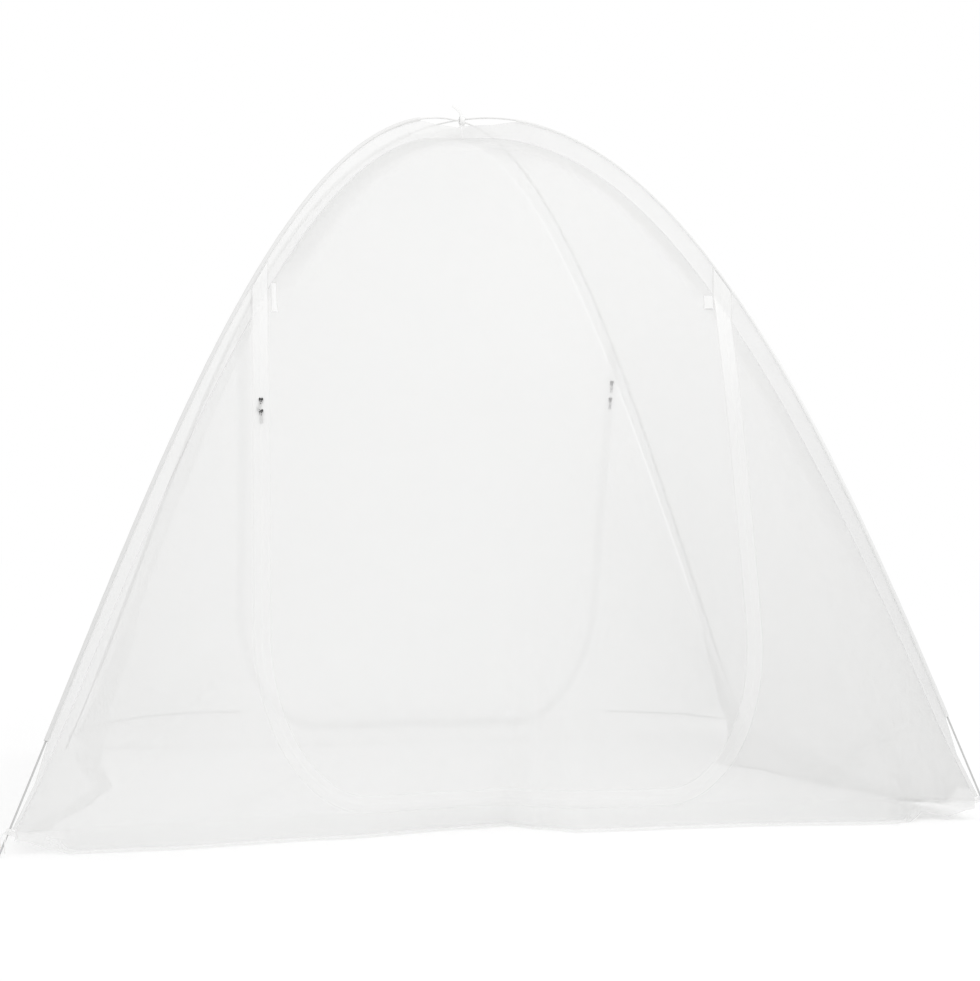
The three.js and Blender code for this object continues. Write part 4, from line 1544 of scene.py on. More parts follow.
@dataclass
class DoorPanel(CanopyPanel):
    """A panel with a zipped door: an arch with upright sides and rounded lower corners.

    The door's middle lies a little beside the panel's own.
    """

    middle: float = 0.0
    half_width: float = 0.5
    side_columns: int = 36
    corner_rows: int = 36
    straight_rows: int = 60
    arch_rows: int = 50
    door_columns: int = 96
    shoulder_rows: int = 5
    sleeve_rows: int = 14
    casing_margin: float = 0.0062
    tape_standoff: float = 0.0009
    tape_seam: float = 0.0002
    tape_overlap: float = 0.0004
    coil_height: float = 0.0004
    coil_width: float = 0.0022
    surround_width: float = 0.30
    foot_power: int = 3
    tape_power: int = 6

    def build(self, material: Material) -> None:
        """Args:
            material: The net.
        """
        around = Piece(f"canopy_{self.name}", self.surround_patches())
        surround = around.dress(material, Slot.NET, f"{self.name}_net")
        self.hang(surround, (self.surround_width, self.zip_length()), around.area())
        self.hang_net(f"door_{self.name}", self.door_patch(), material, f"{self.name}_door")

    def build_zip(self, material: Material) -> None:
        """Args:
            material: The tape.
        """
        piece = Piece(f"zip_{self.name}", [self.tape_patch()])
        tape = piece.dress(material, Slot.TAPE, f"{self.name}_zip_tape")
        width, length = SIZES.zip_tape_width, self.zip_length()
        area = min(piece.area(), width * length)

    def zip_length(self) -> float:
        """How long the zip is, along its middle."""
        line = self.tape_patch().points
        return float(run_length(line)[-1, line.shape[1] // 2])

    def seam_top(self, leg: Leg, across: Array) -> Array:
        """The height at which a leg's seam lies a distance across from the panel's middle."""
        edge = np.abs(leg.seam_edge(leg.seam_height, self.outward) @ self.across)
        return np.interp(np.abs(across), edge, leg.seam_height)

    def half_outline(self, margin: Array | float) -> tuple[Array, Array]:
        """One rounded corner of the door's outline, from the end of its upright side to its bottom.

        Args:
            margin: How far outside the zip's middle the outline runs, or several such distances.

        Returns:
            Distances from the door's middle, and heights: a quarter of an ellipse.
        """
        angle = np.linspace(0.0, np.pi / 2, self.corner_rows + 1).reshape(-1, *(1,) * np.ndim(margin))
        wide, tall = SIZES.door_corner_across, SIZES.door_corner_tall
        across = self.half_width - wide + (wide + margin) * np.cos(angle)
        return across, SIZES.door_bottom + tall - (tall + margin) * np.sin(angle)

    def at(self, across: Array, height: Array) -> Array:
        """Points of the panel by their distance from the middle and their height."""
        across, height = np.broadcast_arrays(across, height)
        return self.place(self.share_at(across, height), height)

    def door_patch(self) -> Patch:
        """The door: rows from the crown down, as wide as the canopy until the upright sides begin.

        Returns:
            The door's net, which ends under the tape.
        """
        margin = self.tape_overlap - SIZES.zip_tape_width / 2
        half = self.half_width + margin
        straight = SIZES.door_bottom + SIZES.door_corner_tall
        ends = [float(self.seam_top(leg, self.middle + sign * half)) for leg, sign in self.two_sides()]
        high, low = max(ends), min(ends)
        climb = np.cos(np.linspace(0, np.pi / 2, self.arch_rows + 1)) ** self.crowding
        corner_across, corner_height = self.half_outline(margin)
        heights = np.concatenate([
            high + climb * (self.top_row - high),
            np.linspace(high, low, self.shoulder_rows + 1)[1:],
            np.linspace(low, straight, self.straight_rows + 1)[1:],
            corner_height[1:],
        ])
        wide = np.concatenate([np.full(len(heights) - self.corner_rows, half), corner_across[1:]])
        first, last = self.sides(heights)
        left, right = np.maximum(first, self.middle - wide), np.minimum(last, self.middle + wide)
        share = np.linspace(0.0, 1.0, self.door_columns + 1)
        across = left[:, None] + (right - left)[:, None] * share
        body = self.at(across, np.broadcast_to(heights[:, None], across.shape))
        return self.patch(np.concatenate([self.crown_grid(share), body]))

    def surround_patches(self) -> list[Patch]:
        """The net round the door: a patch beside each upright side, and a strip below that joins them.

        Returns:
            The three patches, which share their edges.
        """
        corner_across, corner_height = self.half_outline(SIZES.zip_tape_width / 2)
        half, bottom = float(corner_across[0]), float(corner_height[-1])
        patches, feet = [], []
        for leg, sign in self.two_sides():
            top = float(self.seam_top(leg, self.middle + sign * half))
            straight = np.linspace(top, corner_height[0], self.straight_rows + 1)
            heights = np.concatenate([straight, corner_height[1:]])
            wide = np.concatenate([np.full(self.straight_rows + 1, half), corner_across[1:]])
            outline = self.middle + sign * wide
            part = np.linspace(0.0, 1.0, self.side_columns + 1)
            edge = leg.seam_edge(np.array(bottom), self.outward) @ self.across
            foot = edge + part * (outline[-1] - edge)
            lift = self.folds(self.lifts, np.clip(self.share_at(foot, np.full(foot.shape, bottom)), 0, 1))
            raised = np.maximum(lift + SIZES.hem_turning - bottom, 0.0)
            down = ((top - heights) / (top - bottom)) ** self.foot_power
            height = heights[:, None] + down[:, None] * raised
            seam = leg.seam_edge(height, self.outward) @ self.across
            across = seam + part * (outline[:, None] - seam)
            patches.append(self.patch(self.at(across, height)))
            feet.append((across[-1], height[-1]))
        between = np.linspace(feet[0][0][-1], feet[1][0][-1], 2 * self.side_columns + 1)[1:-1]
        across = np.concatenate([feet[0][0], between, feet[1][0][::-1]])
        height = np.concatenate([feet[0][1], np.full(len(between), bottom), feet[1][1][::-1]])
        points, past = self.hem_grid(self.share_at(across, height), height)
        patches.append(self.patch(points, past))
        return patches

    def tape_patch(self) -> Patch:
        """The zip tape: a band carried along the door's outline, with the coil as a low ridge.

        Returns:
            The tape, from the first seam down, round the bottom and up to the last seam.
        """
        half = SIZES.zip_tape_width / 2
        margin = half * np.array(TAPE_COLUMNS)
        straight = SIZES.door_bottom + SIZES.door_corner_tall
        inner = self.half_width - SIZES.door_corner_across
        rise = self.tape_standoff * (1 - np.abs(TAPE_COLUMNS) ** self.tape_power) + self.tape_seam
        rise = rise + self.coil_height * np.exp(-((margin / self.coil_width) ** 2))
        corner_across, corner_height = self.half_outline(margin)
        sides, tops = [], []
        for leg, sign in self.two_sides():
            wide = self.middle + sign * (self.half_width + margin)
            top = self.seam_top(leg, wide)
            run = np.linspace(0.0, 1.0, 2 * self.straight_rows + 1)[:, None]
            height = top + run * (straight - top)
            turning = self.middle + sign * corner_across[1:]
            across = np.concatenate([np.broadcast_to(wide, height.shape), turning])
            sides.append((across, np.concatenate([height, corner_height[1:]])))
            tops.append(self.over_sleeve(leg, wide, top, rise))
        run = self.middle + np.linspace(-inner, inner, self.straight_rows + 1)[1:-1]
        bottom_across = np.broadcast_to(run[:, None], (len(run), len(margin)))
        bottom_height = np.broadcast_to(SIZES.door_bottom - margin, bottom_across.shape)
        across = np.concatenate([sides[0][0], bottom_across, sides[1][0][::-1]])
        height = np.concatenate([sides[0][1], bottom_height, sides[1][1][::-1]])
        share = self.share_at(across, height)
        body = self.place(share, height) + rise[:, None] * self.normal(share, height)
        points = np.concatenate([tops[0], body, tops[1][::-1]])
        along = run_length(points)[:, len(margin) // 2]
        return Patch(points, paired(along[:, None], margin)).facing(self.outward)

    def over_sleeve(self, leg: Leg, across: Array, seam: Array, rise: Array) -> Array:
        """The tape's end, which goes on upright from the seam over the sleeve's fin to its casing.

        Args:
            leg: The leg that carries the sleeve.
            across: Where each column of the tape lies across the panel.
            seam: The height of the seam there.
            rise: How far each column stands off the cloth under it.

        Returns:
            Rows of points from the casing down to the seam, which isn't among them.
        """
        edge = leg.seam_edge(seam, self.outward)
        reach = edge @ leg.heading
        wire = np.interp(reach, leg.bow[:, 0], leg.bow[:, 1])
        lean = np.interp(reach, leg.bow[:, 0], leg.tangents[:, 0])
        top = wire - self.casing_margin / lean
        part = np.linspace(0.0, 1.0, self.sleeve_rows, endpoint=False)[:, None]
        height = top + part * (seam - top)
        side = leg.seam_side(self.outward)
        panel = self.normal(self.share_at(across, seam), seam)
        way = unit((1 - part[..., None]) * np.sign(side) * leg.aside + part[..., None] * panel)
        return leg.upright(paired(reach, height), side) + rise[:, None] * way

    def two_sides(self) -> tuple[tuple[Leg, float], tuple[Leg, float]]:
        """The panel's two legs, and the side of the door that each lies on."""
        return (self.first, -1.0), (self.last, 1.0)


STRAP_STEPS = 6
TAIL_STEPS = 10
STRIP_SIDES = 12
STRIP_EDGE = 0.4
STRIP_FACE = 0.7


def squared(value: Array, power: float) -> Array:
    """Draws a sine or a cosine out towards a square wave, the more so the closer the power is to 0."""
    return np.sign(value) * np.abs(value) ** power


@dataclass
class Bundle:
    """The grids of a closed piece and the rings that close them, gathered as its strips are laid."""

    patches: list[Patch]
    caps: list[Array] = field(default_factory=list)

    def lay(self, path: Array, wide: Array, width: float, thickness: float) -> None:
        """Lays a flat strip with rounded edges along a path.

        Args:
            path: Points along the strip's middle.
            wide: The direction across the strip, at each point or for all of them.
            width: The strip's width.
            thickness: Its thickness.
        """
        wide = np.broadcast_to(wide, path.shape)
        along = unit(np.gradient(path, axis=0))
        thick = unit(np.cross(along, wide))
        angle = np.linspace(0, 2 * np.pi, STRIP_SIDES + 1)
        across = width / 2 * squared(np.cos(angle), STRIP_EDGE)
        over = thickness / 2 * squared(np.sin(angle), STRIP_FACE)
        points = path[:, None] + across[:, None] * wide[:, None] + over[:, None] * thick[:, None]
        points[:, -1] = points[:, 0]
        self.patches.append(Patch(points, paired(run_length(path)[:, None], across)))
        self.caps += [points[0, :-1], points[-1, :-1]]

    def finish(self, name: str, material: Material, slot: Slot, node: str) -> None:
        """Makes one piece of the grids, in place of a node."""
        Piece(name, self.patches, self.caps).close().dress(material, slot, node)


def soft_curve(points: Array, steps: int) -> Array:
    """A smooth curve through a few points, each stretch a cubic that leans on its neighbours.

    Args:
        points: The points, at least three.
        steps: How many points each stretch gets.

    Returns:
        Points along the curve.
    """
    ends = np.concatenate([2 * points[:1] - points[1:2], points, 2 * points[-1:] - points[-2:-1]])
    t = np.linspace(0, 1, steps, endpoint=False)[:, None, None]
    a, b, c, d = ends[:-3], ends[1:-2], ends[2:-1], ends[3:]
    curve = 0.5 * (2 * b + (c - a) * t + (2 * a - 5 * b + 4 * c - d) * t**2 + (3 * b - a - 3 * c + d) * t**3)
    line = curve.swapaxes(0, 1).reshape(-1, points.shape[1])
    return np.concatenate([line, points[-1:]])


@dataclass(frozen=True)
class Knot:
    """A small pulled-tight knot: a round lump with a waist where the ribbon turns over itself."""

    half_sizes: tuple[float, float, float]
    turns: int = 20
    tilts: int = 12
    lobes: int = 3
    lobe_height: float = 0.16
    waist_depth: float = 0.14
    waist_width: float = 0.3
    ribbon: tuple[float, float] = (0.02, 0.01)

    def skin(self, centre: Array, axes: Sequence[Array]) -> Patch:
        """Swells a ball by lobes round it, and draws it in by a bell about its middle.

        Args:
            centre: The knot's middle.
            axes: Three directions square to each other.

        Returns:
            The knot's skin, closed at both poles.
        """
        turn = np.linspace(0, 2 * np.pi, self.turns + 1)
        tilt = np.linspace(0, np.pi, self.tilts + 1)[:, None]
        lobes = self.lobe_height * np.cos(self.lobes * turn) * np.sin(tilt)
        swell = 1 + lobes - self.waist_depth * np.exp(-((np.cos(tilt) / self.waist_width) ** 2))
        ball = (np.sin(tilt) * np.cos(turn), np.sin(tilt) * np.sin(turn), np.cos(tilt) * np.ones_like(turn))
        sides = zip(self.half_sizes, ball, axes)
        points = centre + sum((half * swell * part)[..., None] * axis for half, part, axis in sides)
        points[:, -1] = points[:, 0]
        return Patch(points, paired(self.ribbon[0] * turn / np.pi, self.ribbon[1] * tilt))


def band_patch(outer: Array, bore: Array, length: float) -> Patch:
    """A band of ribbon closed on itself, out along its outer rings and back along its bore."""
    points = np.concatenate([outer, bore[::-1], outer[:1]])
    return Patch(points, paired(np.linspace(0, length, points.shape[1]), run_length(points)))


@dataclass
class DoorTie:
    """A ribbon that ties up the rolled front door, and hangs free down the outside of the net."""

    name: str
    at: float
    top: float
    length: float
    width: float
    curl: float
    flare: float
    standoff: float = 0.0014
    lifted: float = 0.6
    cupping: float = 0.002
    flare_power: int = 6
    steps: int = 30
    columns: int = 6

    def build(self, panel: CanopyPanel, material: Material) -> None:
        """Args:
            panel: The panel that it hangs on.
            material: The ribbon's finish.
        """
        run = np.linspace(0.0, 1.0, self.steps + 1)[:, None]
        part = np.linspace(-0.5, 0.5, self.columns + 1)
        height = np.broadcast_to(self.top - self.length * run, (len(run), len(part)))
        across = self.at + self.width * (1 + self.flare * run**self.flare_power) * part + self.curl * run**2
        share = panel.share_at(across, height)
        lean = self.standoff + self.lifted * np.abs(self.curl) * run**2 - self.cupping * np.abs(part)
        points = panel.place(share, height) + lean[..., None] * panel.normal(share, height)
        patch = Patch(points, paired(self.length * run, self.width * part)).facing(panel.outward)
        piece = Piece(f"door_ribbon_{self.name}", [patch])
        ribbon = piece.dress(material, Slot.RIBBON, f"door_tie_{self.name}")


OUTLINE_STEPS = 5
CAST_STEPS = 16
CAST_EDGE = 0.4
SLIDER_OUTLINE = (
    (0.0026, -0.0065), (0.0045, 0.001), (0.0045, 0.0049), (0.003, 0.0065), (0.0013, 0.0065), (0.0, 0.0043),
)
BRIDGE_LEGS = ((0.0026, 0.0016), (0.0026, 0.0042), (0.0014, 0.0054))


@dataclass(frozen=True)
class Oval:
    """A closed outline up a zip: an ellipse at power 1, and nearly its box close to 0."""

    half_width: float
    half_height: float
    up: float
    power: float
    steps: int = 48

    def outline(self) -> Array:
        """Works out the outline.

        Returns:
            Points round it, the last one on the first.
        """
        angle = np.linspace(0, 2 * np.pi, self.steps + 1)
        turn = squared(paired(np.cos(angle), np.sin(angle)), self.power)
        return turn * (self.half_width, self.half_height) + (0.0, self.up)


PULL_RINGS = (
    (Oval(0.0032, 0.0028, -0.0002, 0.3), Oval(0.0015, 0.0013, 0.0, 0.3)),
    (Oval(0.0032, 0.0070, -0.0093, 0.25), Oval(0.0012, 0.0040, -0.0075, 0.25)),
    (Oval(0.0040, 0.0040, -0.0195, 1.0), Oval(0.0022, 0.0022, -0.0195, 1.0)),
)


@dataclass(frozen=True)
class ZipSpot:
    """A place on a zip's tape, with its directions across it, up along it and over it."""

    middle: Array
    across: Array
    up: Array
    over: Array

    def at(self, flat: Array, depth: Array | float) -> Array:
        """Points by their places across and up, and by their height over the tape."""
        across, up = flat[..., :1] * self.across, flat[..., 1:] * self.up
        return self.middle + across + up + np.asarray(depth)[..., None] * self.over

    def run(self, line: Array) -> Array:
        """A soft curve over the zip's middle, through places up it and over it."""
        return soft_curve(self.at(paired(0.0, line[:, 0]), line[:, 1]), STRAP_STEPS)

    def turned(self, angle: float, up: float) -> "ZipSpot":
        """The same place moved up the zip, and turned by an angle in degrees."""
        cosine, sine = np.cos(np.radians(angle)), np.sin(np.radians(angle))
        return ZipSpot(
            middle=self.middle + up * self.up,
            across=cosine * self.across + sine * self.up,
            up=cosine * self.up - sine * self.across,
            over=self.over,
        )

    def cast(self, rim: Array, bore: Array | None, depth: float, thickness: float) -> Patch:
        """A flat cast piece with soft edges: a squarish section carried round the outline.

        Args:
            rim: Its outline.
            bore: The outline of its hole, or None where it has none and the section ends at the middle.
            depth: How high its middle lies over the tape.
            thickness: Its thickness.

        Returns:
            The piece's skin, closed.
        """
        span = np.pi / 2 if bore is None else np.pi
        tilt = np.linspace(-span, span, CAST_STEPS + 1)[:, None]
        out, lift = (squared(part, CAST_EDGE) for part in (np.cos(tilt), np.sin(tilt)))
        inner, share = (np.zeros_like(rim), out) if bore is None else (bore, (1 + out) / 2)
        flat = inner + share[..., None] * (rim - inner)
        points = self.at(flat, np.broadcast_to(depth + thickness / 2 * lift, flat.shape[:2]))
        points[:, -1] = points[:, 0]
        points[-1] = points[-1, :1] if bore is None else points[0]
        points[0] = points[0, :1] if bore is None else points[0]
        return Patch(points, flat)


@dataclass
class ZipSlider:
    """A slider with its pull: two plates about the tape, a post through it, a bridge and a ringed tab."""

    name: str
    panel: DoorPanel
    height: float
    side: float
    swing: float = 0.0
    plate: float = 0.0013
    plate_depth: float = 0.0016
    bridge_width: float = 0.0018
    bridge_bar: float = 0.0011
    leg_up: float = -0.0026
    post: tuple[float, float, float] = (0.0022, 0.003, 0.002)
    pull_depth: float = 0.0037
    pull_thickness: float = 0.001

    def build(self, enamel: Material, grey: Material) -> None:
        """Builds the slider and hangs its pull on the bridge.

        Args:
            enamel: The slider's finish.
            grey: The pull's finish.
        """
        spot = self.spot()
        half = np.array(SLIDER_OUTLINE)
        outline = soft_curve(np.concatenate([half, half[-2::-1] * (-1, 1), half[:1]]), OUTLINE_STEPS)
        slider = Bundle([spot.cast(outline, None, side * self.plate_depth, self.plate) for side in (-1, 1)])
        legs = np.array(BRIDGE_LEGS)
        arch = np.concatenate([legs * (-1, 1), legs[::-1]])
        slider.lay(spot.run(arch), spot.across, self.bridge_width, self.bridge_bar)
        wide, tall, up = self.post
        through = paired(up, self.plate_depth * np.array([-1, 0, 1]))
        slider.lay(spot.run(through), spot.across, wide, tall)
        slider.finish(f"slider_{self.name}", enamel, Slot.ENAMEL, f"zip_slider_{self.name}")
        hung = spot.turned(self.swing, self.leg_up)
        pull = Bundle([
            hung.cast(rim.outline(), bore.outline(), self.pull_depth, self.pull_thickness)
            for rim, bore in PULL_RINGS
        ])
        pull.finish(f"pull_{self.name}", grey, Slot.METAL, f"zip_pull_{self.name}")

    def spot(self) -> ZipSpot:
        """Finds the tape's middle at the slider's height.

        Returns:
            The place, with its directions for the side of the panel where the pull hangs.
        """
        panel = self.panel
        height = np.array(self.height)
        share = panel.share_at(np.array(panel.middle - panel.half_width), height)
        outward = panel.normal(share, height)
        over = self.side * outward
        across = unit(np.cross(UP, over))
        middle = panel.place(share, height) + (panel.tape_standoff + panel.tape_seam) * outward
        return ZipSpot(middle, across, np.cross(over, across), over)


FOOT_TAIL_BENDS = np.array([[0.0, 0.0], [0.6, 0.1], [1.0, 0.5], [1.0, 1.0]])
CROWN_TAIL_BENDS = np.array([[0.0, 0.0], [0.2, 0.45], [0.6, 0.85], [1.0, 1.0]])


@dataclass
class FootTie:
    """A ribbon knotted round a wire below the sleeve, which holds the canopy's corner, with two free ends."""

    leg: Leg
    band: float = 0.012
    band_rows: int = 8
    band_sides: int = 18
    band_swell: float = 0.06
    gap: float = 0.0004
    strap: float = 0.015
    strap_bend: float = 0.6
    strap_share: float = 0.8
    thickness: float = 0.0012
    tail_width: float = 0.003
    tails: tuple[tuple[float, float, float], ...] = ((1.0, 0.011, 0.038), (-1.0, 0.015, 0.028))
    knot: Knot = Knot((0.0028, 0.0048, 0.0042))

    def build(self, material: Material) -> None:
        """Builds the tie: its band, a strap inwards to the corner, the free ends and the knot.

        Args:
            material: The ribbon's finish.
        """
        leg = self.leg
        start = SIZES.seam_end + self.gap / leg.length
        end = start + self.band / leg.length
        work = Bundle([self._band(start, end)])
        point, along, inwards = leg.stations((start + end) / 2)
        down, out = leg.upright(along, 0.0), -leg.upright(inwards, 0.0)
        ends = np.array([SIZES.casing_bore, self.strap_bend * self.strap, self.strap])
        strap = leg.upright(point + inwards * ends[:, None], 0.0)
        work.lay(soft_curve(strap, STRAP_STEPS), down, self.strap_share * self.band, self.thickness)
        for side, reach, drop in self.tails:
            bends = FOOT_TAIL_BENDS * (reach, -drop)
            path = soft_curve(leg.upright(point + bends, side * SIZES.casing_radius), TAIL_STEPS)
            work.lay(path, leg.aside, self.tail_width, self.thickness)
        outer = leg.upright(point - inwards * SIZES.casing_radius, 0.0)
        work.patches.append(self.knot.skin(outer, (out, leg.aside, down)))
        work.finish(f"foot_ribbon_{leg.name}", material, Slot.RIBBON, f"foot_tie_{leg.name}")

    def _band(self, start: float, end: float) -> Patch:
        """The ribbon round the wire, fuller in its middle.

        Args:
            start: The share of the leg where the band begins.
            end: The share where it ends.

        Returns:
            The band.
        """
        share = np.linspace(start, end, self.band_rows + 1)
        swell = self.band_swell * np.sin(np.linspace(0, np.pi, len(share)))
        full = SIZES.casing_radius * (1 - self.band_swell + swell)
        bore = np.full(len(share), SIZES.casing_bore)
        outer, inner = (self.leg.tube(share, radius, self.band_sides)[0] for radius in (full, bore))
        return band_patch(outer, inner, 2 * np.pi * SIZES.casing_radius)


@dataclass
class CrownTie:
    """A ribbon round both wires where they cross, with a strap to the sleeves and one free end."""

    bore: float = 0.0086
    wall: float = 0.0016
    wall_swell: float = 0.2
    swell_angle: float = 1.2
    band_rows: int = 6
    band_sides: int = 32
    width: float = 0.013
    thickness: float = 0.0012
    strap_gap: float = 0.0004
    tail: tuple[float, float] = (-0.024, 0.026)
    tail_width: float = 0.009
    knot: Knot = Knot((0.0055, 0.0042, 0.003))
    knot_rise: float = 0.001

    def build(self, material: Material) -> None:
        """Builds the tie: its band, a strap down to the sleeves' edges, the free end and the knot.

        Args:
            material: The ribbon's finish.
        """
        across_way, depth_way, _ = axes = np.eye(3)
        crown = SIZES.crown_height * UP
        work = Bundle([self._band(crown)])
        middle = self.bore + self.wall / 2
        foot = SLEEVE_SECTIONS[0].edge - SIZES.stacking - self.strap_gap
        strap = crown - np.array([[middle], [(middle + foot) / 2], [foot]]) * UP
        work.lay(soft_curve(strap, STRAP_STEPS), across_way, self.width, self.thickness)
        side, rise = (CROWN_TAIL_BENDS * self.tail).T[..., None]
        line = soft_curve(crown + side * across_way + (middle + rise) * UP, TAIL_STEPS)
        wide = unit(np.cross(np.gradient(line, axis=0), depth_way))
        work.lay(line, wide, self.tail_width, self.thickness)
        work.patches.append(self.knot.skin(crown + (middle + self.knot_rise) * UP, axes))
        work.finish("crown_ribbon", material, Slot.RIBBON, "crown_tie")

    def _band(self, crown: Array) -> Patch:
        """The ribbon round the crossing, thicker in its middle.

        Args:
            crown: The crossing.

        Returns:
            The band.
        """
        angle = np.linspace(0, 2 * np.pi, self.band_sides + 1)
        across = np.linspace(-0.5, 0.5, self.band_rows + 1)[:, None] * self.width
        swell = self.wall_swell * np.cos(np.linspace(-self.swell_angle, self.swell_angle, self.band_rows + 1))
        full = self.bore + self.wall * (1 - self.wall_swell + swell)
        rings = []
        for radius in (full[:, None], np.full(across.shape, self.bore)):
            parts = np.broadcast_arrays(across, radius * np.cos(angle), radius * np.sin(angle))
            ring = np.stack(parts, axis=-1) + crown
            ring[:, -1] = ring[:, 0]
            rings.append(ring)
        return band_patch(*rings, 2 * np.pi * self.bore)


@dataclass
class Studio:
    """A white floor and backdrop, soft light all round, and a camera low in front and to the left."""

    camera_place: tuple[float, float, float] = (-0.633, -3.79, 0.606)
    camera_yaw: float = 10.52
    camera_pitch: float = 1.52
    focal_pixels: float = 1560.0
    picture_width: float = 980.0
    sensor: float = 36.0
    sky: float = 1.0
    floor_size: float = 60.0
    floor_colour: Colour = (0.97, 0.97, 0.97)
    floor_glow: Colour = (0.03, 0.03, 0.03)
    floor_roughness: float = 0.9
    floor_drop: float = 0.0006
    key_place: tuple[float, float, float] = (0.9, -1.5, 2.6)
    key_aim: tuple[float, float, float] = (0.0, 0.0, 1.3)
    key_power: float = 7.0
    key_size: float = 1.2
    net_crossings: int = 32

    def build(self) -> None:
        """Sets up the camera, the floor and the light."""
        self._camera()
        self._floor()
        self._light()

    def _camera(self) -> None:
        """Places the camera and makes it the scene's own."""
        data = bpy.data.cameras.new("camera")
        data.sensor_fit = "HORIZONTAL"
        data.sensor_width = self.sensor
        data.lens = self.sensor * self.focal_pixels / self.picture_width
        camera = bpy.data.objects.new("camera", data)
        camera.location = self.camera_place
        camera.rotation_euler = (np.radians(90 + self.camera_pitch), 0.0, -np.radians(self.camera_yaw))
        bpy.context.scene.collection.objects.link(camera)
        bpy.context.scene.camera = camera

    def _floor(self) -> None:
        """Lays a wide pale floor just under the part."""
        reach = self.floor_size / 2
        corners = np.array([-reach, reach])
        points = np.stack(np.broadcast_arrays(corners, corners[:, None], -self.floor_drop), axis=-1)
        floor = Piece("floor", [Patch(points, points[..., :2]).facing(UP)]).object
        material, board = Finish.start("floor_paper")
        board.feed_shader(
            Base_Color=(*self.floor_colour, 1.0),
            Roughness=self.floor_roughness,
            Specular_IOR_Level=0.0,
            Emission_Color=(*self.floor_glow, 1.0),
            Emission_Strength=self.sky,
        )
        floor.data.materials.append(material)

    def _light(self) -> None:
        """Lights the part evenly from all round, and a little more from above in front."""
        scene = bpy.context.scene
        world = bpy.data.worlds.new("studio")
        world.use_nodes = True
        back = world.node_tree.nodes["Background"]
        back.inputs["Color"].default_value = (1.0, 1.0, 1.0, 1.0)
        back.inputs["Strength"].default_value = self.sky
        scene.world = world
        lamp = bpy.data.lights.new("key", "AREA")
        lamp.energy = self.key_power
        lamp.size = self.key_size
        key = bpy.data.objects.new("key", lamp)
        key.location = self.key_place
        towards = np.array(self.key_aim) - np.array(self.key_place)
        tilt = np.arctan2(np.hypot(towards[0], towards[1]), -towards[2])
        key.rotation_euler = (tilt, 0.0, np.arctan2(towards[1], towards[0]) - np.pi / 2)
        scene.collection.objects.link(key)
        scene.view_settings.view_transform = "Standard"
        scene.cycles.transparent_max_bounces = self.net_crossings


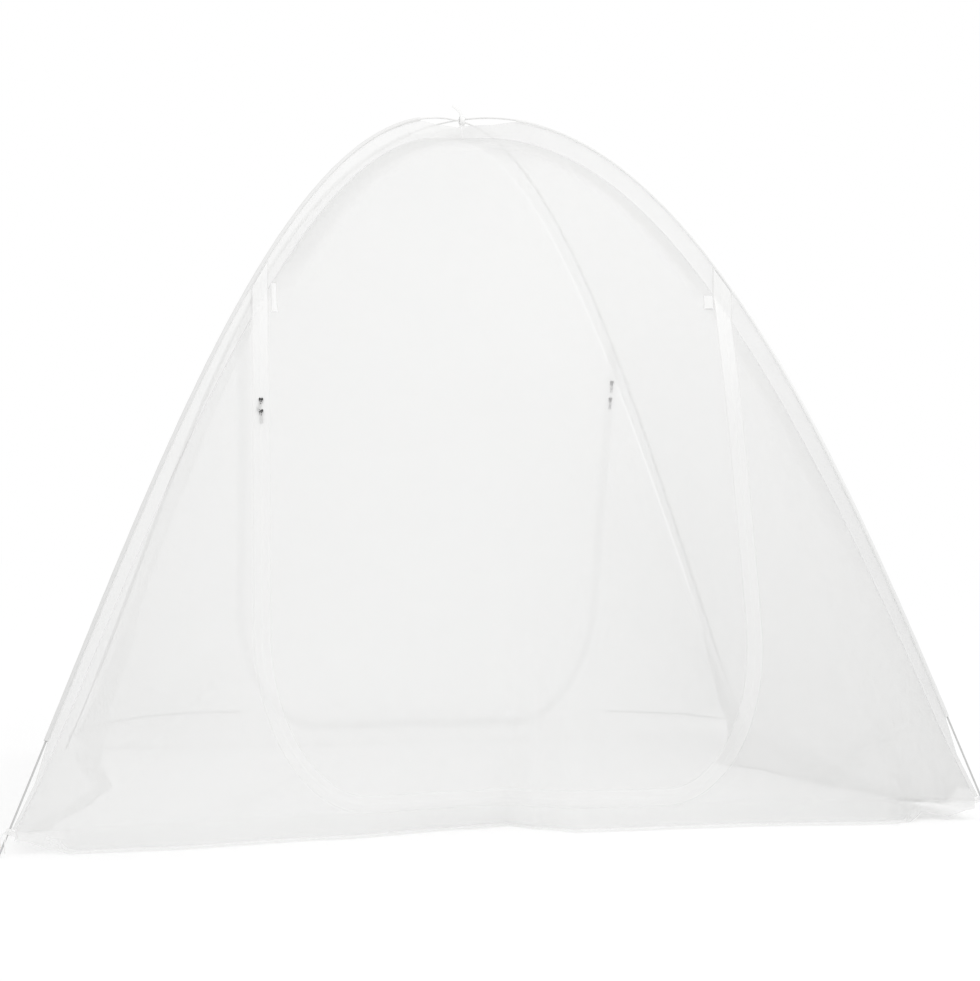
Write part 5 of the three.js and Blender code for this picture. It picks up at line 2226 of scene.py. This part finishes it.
@dataclass
class DomeNet:
    """The whole net: its frame, its sleeves, its canopy and its ties."""

    effects: Effects = field(default_factory=Effects)

    def build(self) -> None:
        """Builds every piece in order."""
        effects = self.effects
        wire = WireFinish(effects, "spring_wire").material()
        SpringWire("spring_wire_a", LEGS["front_left"], LEGS["back_right"]).build(wire, "frame_wire_a")
        SpringWire("spring_wire_b", LEGS["front_right"], LEGS["back_left"]).build(wire, "frame_wire_b")
        self._sleeves()
        front, back = self._panels()
        self._sliders(front, back)
        ribbon = RibbonFinish(effects, "tie_ribbon").material()
        # Painted shade: a darker copy of the tie ribbon for the right door tie.
        painted_shade = RibbonFinish(effects, "dull_ribbon", off_white(0.82), off_white(0.85)).material()
        DoorTie("left", -0.478, 1.149, 0.066, 0.010, 0.001, 0.4).build(front, ribbon)
        DoorTie("right", 0.505, 1.145, 0.032, 0.020, -0.003, 0.15).build(front, painted_shade)
        for leg in LEGS.values():
            FootTie(leg).build(ribbon)
        CrownTie().build(ribbon)

    def _sleeves(self) -> None:
        """Builds a sleeve on each leg, in the tone that its side of the net has: lit and shaded copies of one
        cloth, painted light and shade for how light falls on each leg.
        """
        # Painted shade darkens the front left's casing and painted light brightens the front right's; the
        # back ones are retoned and sheerer.
        tones: dict[str, tuple[str, dict[str, Any]]] = {
            "front_left": ("painted_shade", {"low": off_white(0.78), "casing_high": off_white(0.80)}),
            "front_right": ("painted_light", {"casing_low": off_white(0.80), "casing_high": off_white(0.90)}),
            "back_left": ("thin", {"low": off_white(0.83), "casing_low": off_white(0.70), "cover": 0.5}),
            "back_right": ("faint", {
                "low": off_white(0.83), "casing_low": off_white(0.76), "casing_high": off_white(0.90),
                "cover": 0.2,
            }),
        }
        for name, (tone, values) in tones.items():
            cloth = SleeveFinish(self.effects, f"{tone}_sleeve_cloth", **values).material()
            WireSleeve(LEGS[name]).build(cloth)

    def _sliders(self, front: DoorPanel, back: DoorPanel) -> None:
        """Builds two sliders on each zip.

        Args:
            front: The front panel, whose pulls hang outside.
            back: The back panel, whose pulls hang inside.
        """
        enamel = CastFinish(self.effects, "slider_enamel", off_white(0.035, 0), off_white(0.06, 0)).material()
        pale = CastFinish(self.effects, "pale_pull", off_white(0.58), off_white(0.66)).material()
        dim = CastFinish(self.effects, "dim_pull", off_white(0.24, 0), off_white(0.30, 0)).material()
        ZipSlider("front_upper", front, 0.883, 1.0, -16.0).build(enamel, pale)
        ZipSlider("front_lower", front, 0.858, 1.0).build(enamel, pale)
        ZipSlider("back_upper", back, 1.016, -1.0).build(enamel, dim)
        ZipSlider("back_lower", back, 0.971, -1.0).build(enamel, dim)

    def _panels(self) -> tuple[DoorPanel, DoorPanel]:
        """Builds the canopy.

        Returns:
            The front and the back panel, which carry the sliders and the door's ties.
        """
        front_left, back_right, front_right, back_left = LEGS.values()
        net = NetFinish(self.effects, "sheer_net").material()
        tape = TapeFinish(self.effects, "zip_tape").material()
        # Painted shade: the back zip's tape is a grey copy of the white tape, darker as it is seen from
        # inside through the front net.
        grey = off_white(0.76)
        toned = TapeFinish(
            self.effects, "worn_zip_tape", dark=grey, light=grey, painted_top_light=grey, cover=0.5, low_cover=0.53,
            core_half_width=0.005,
        ).material()
        to_right, to_back, _ = np.eye(3)
        front = DoorPanel(
            "front", front_left, front_right, -to_back, 0.070, FRONT_HEM, FRONT_CREASES, side_fullness=0.8,
            gathers=FRONT_GATHERS, low_fullness=0.2, middle=0.013, half_width=0.521,
        )
        back = DoorPanel(
            "back", back_right, back_left, to_back, 0.055, BACK_HEM, BACK_CREASES, side_fullness=0.8,
            turned_hem=0.0, hem_thinning=0.96, low_fullness=0.6, tucks=BACK_TUCKS, middle=0.020,
            half_width=0.502,
        )
        right = CanopyPanel(
            "right", front_right, back_right, to_right, 0.190, RIGHT_HEM, RIGHT_CREASES, fullness=1.75,
            fullness_power=1.15, gathers=RIGHT_GATHERS, turned_hem=0.1, hem_thinning=0.8,
        )
        left = CanopyPanel(
            "left", back_left, front_left, -to_right, 0.050, LEFT_HEM, LEFT_CREASES, fullness=0.0,
        )
        for panel in (left, right, front, back):
            panel.build(net)
        front.build_zip(tape)
        back.build_zip(toned)
        return front, back


def main() -> None:
    """Builds the studio and the net."""
    logging.basicConfig(level=logging.INFO, format="%(message)s")
    Studio().build()
    DomeNet().build()


if __name__ == "__main__":
    main()
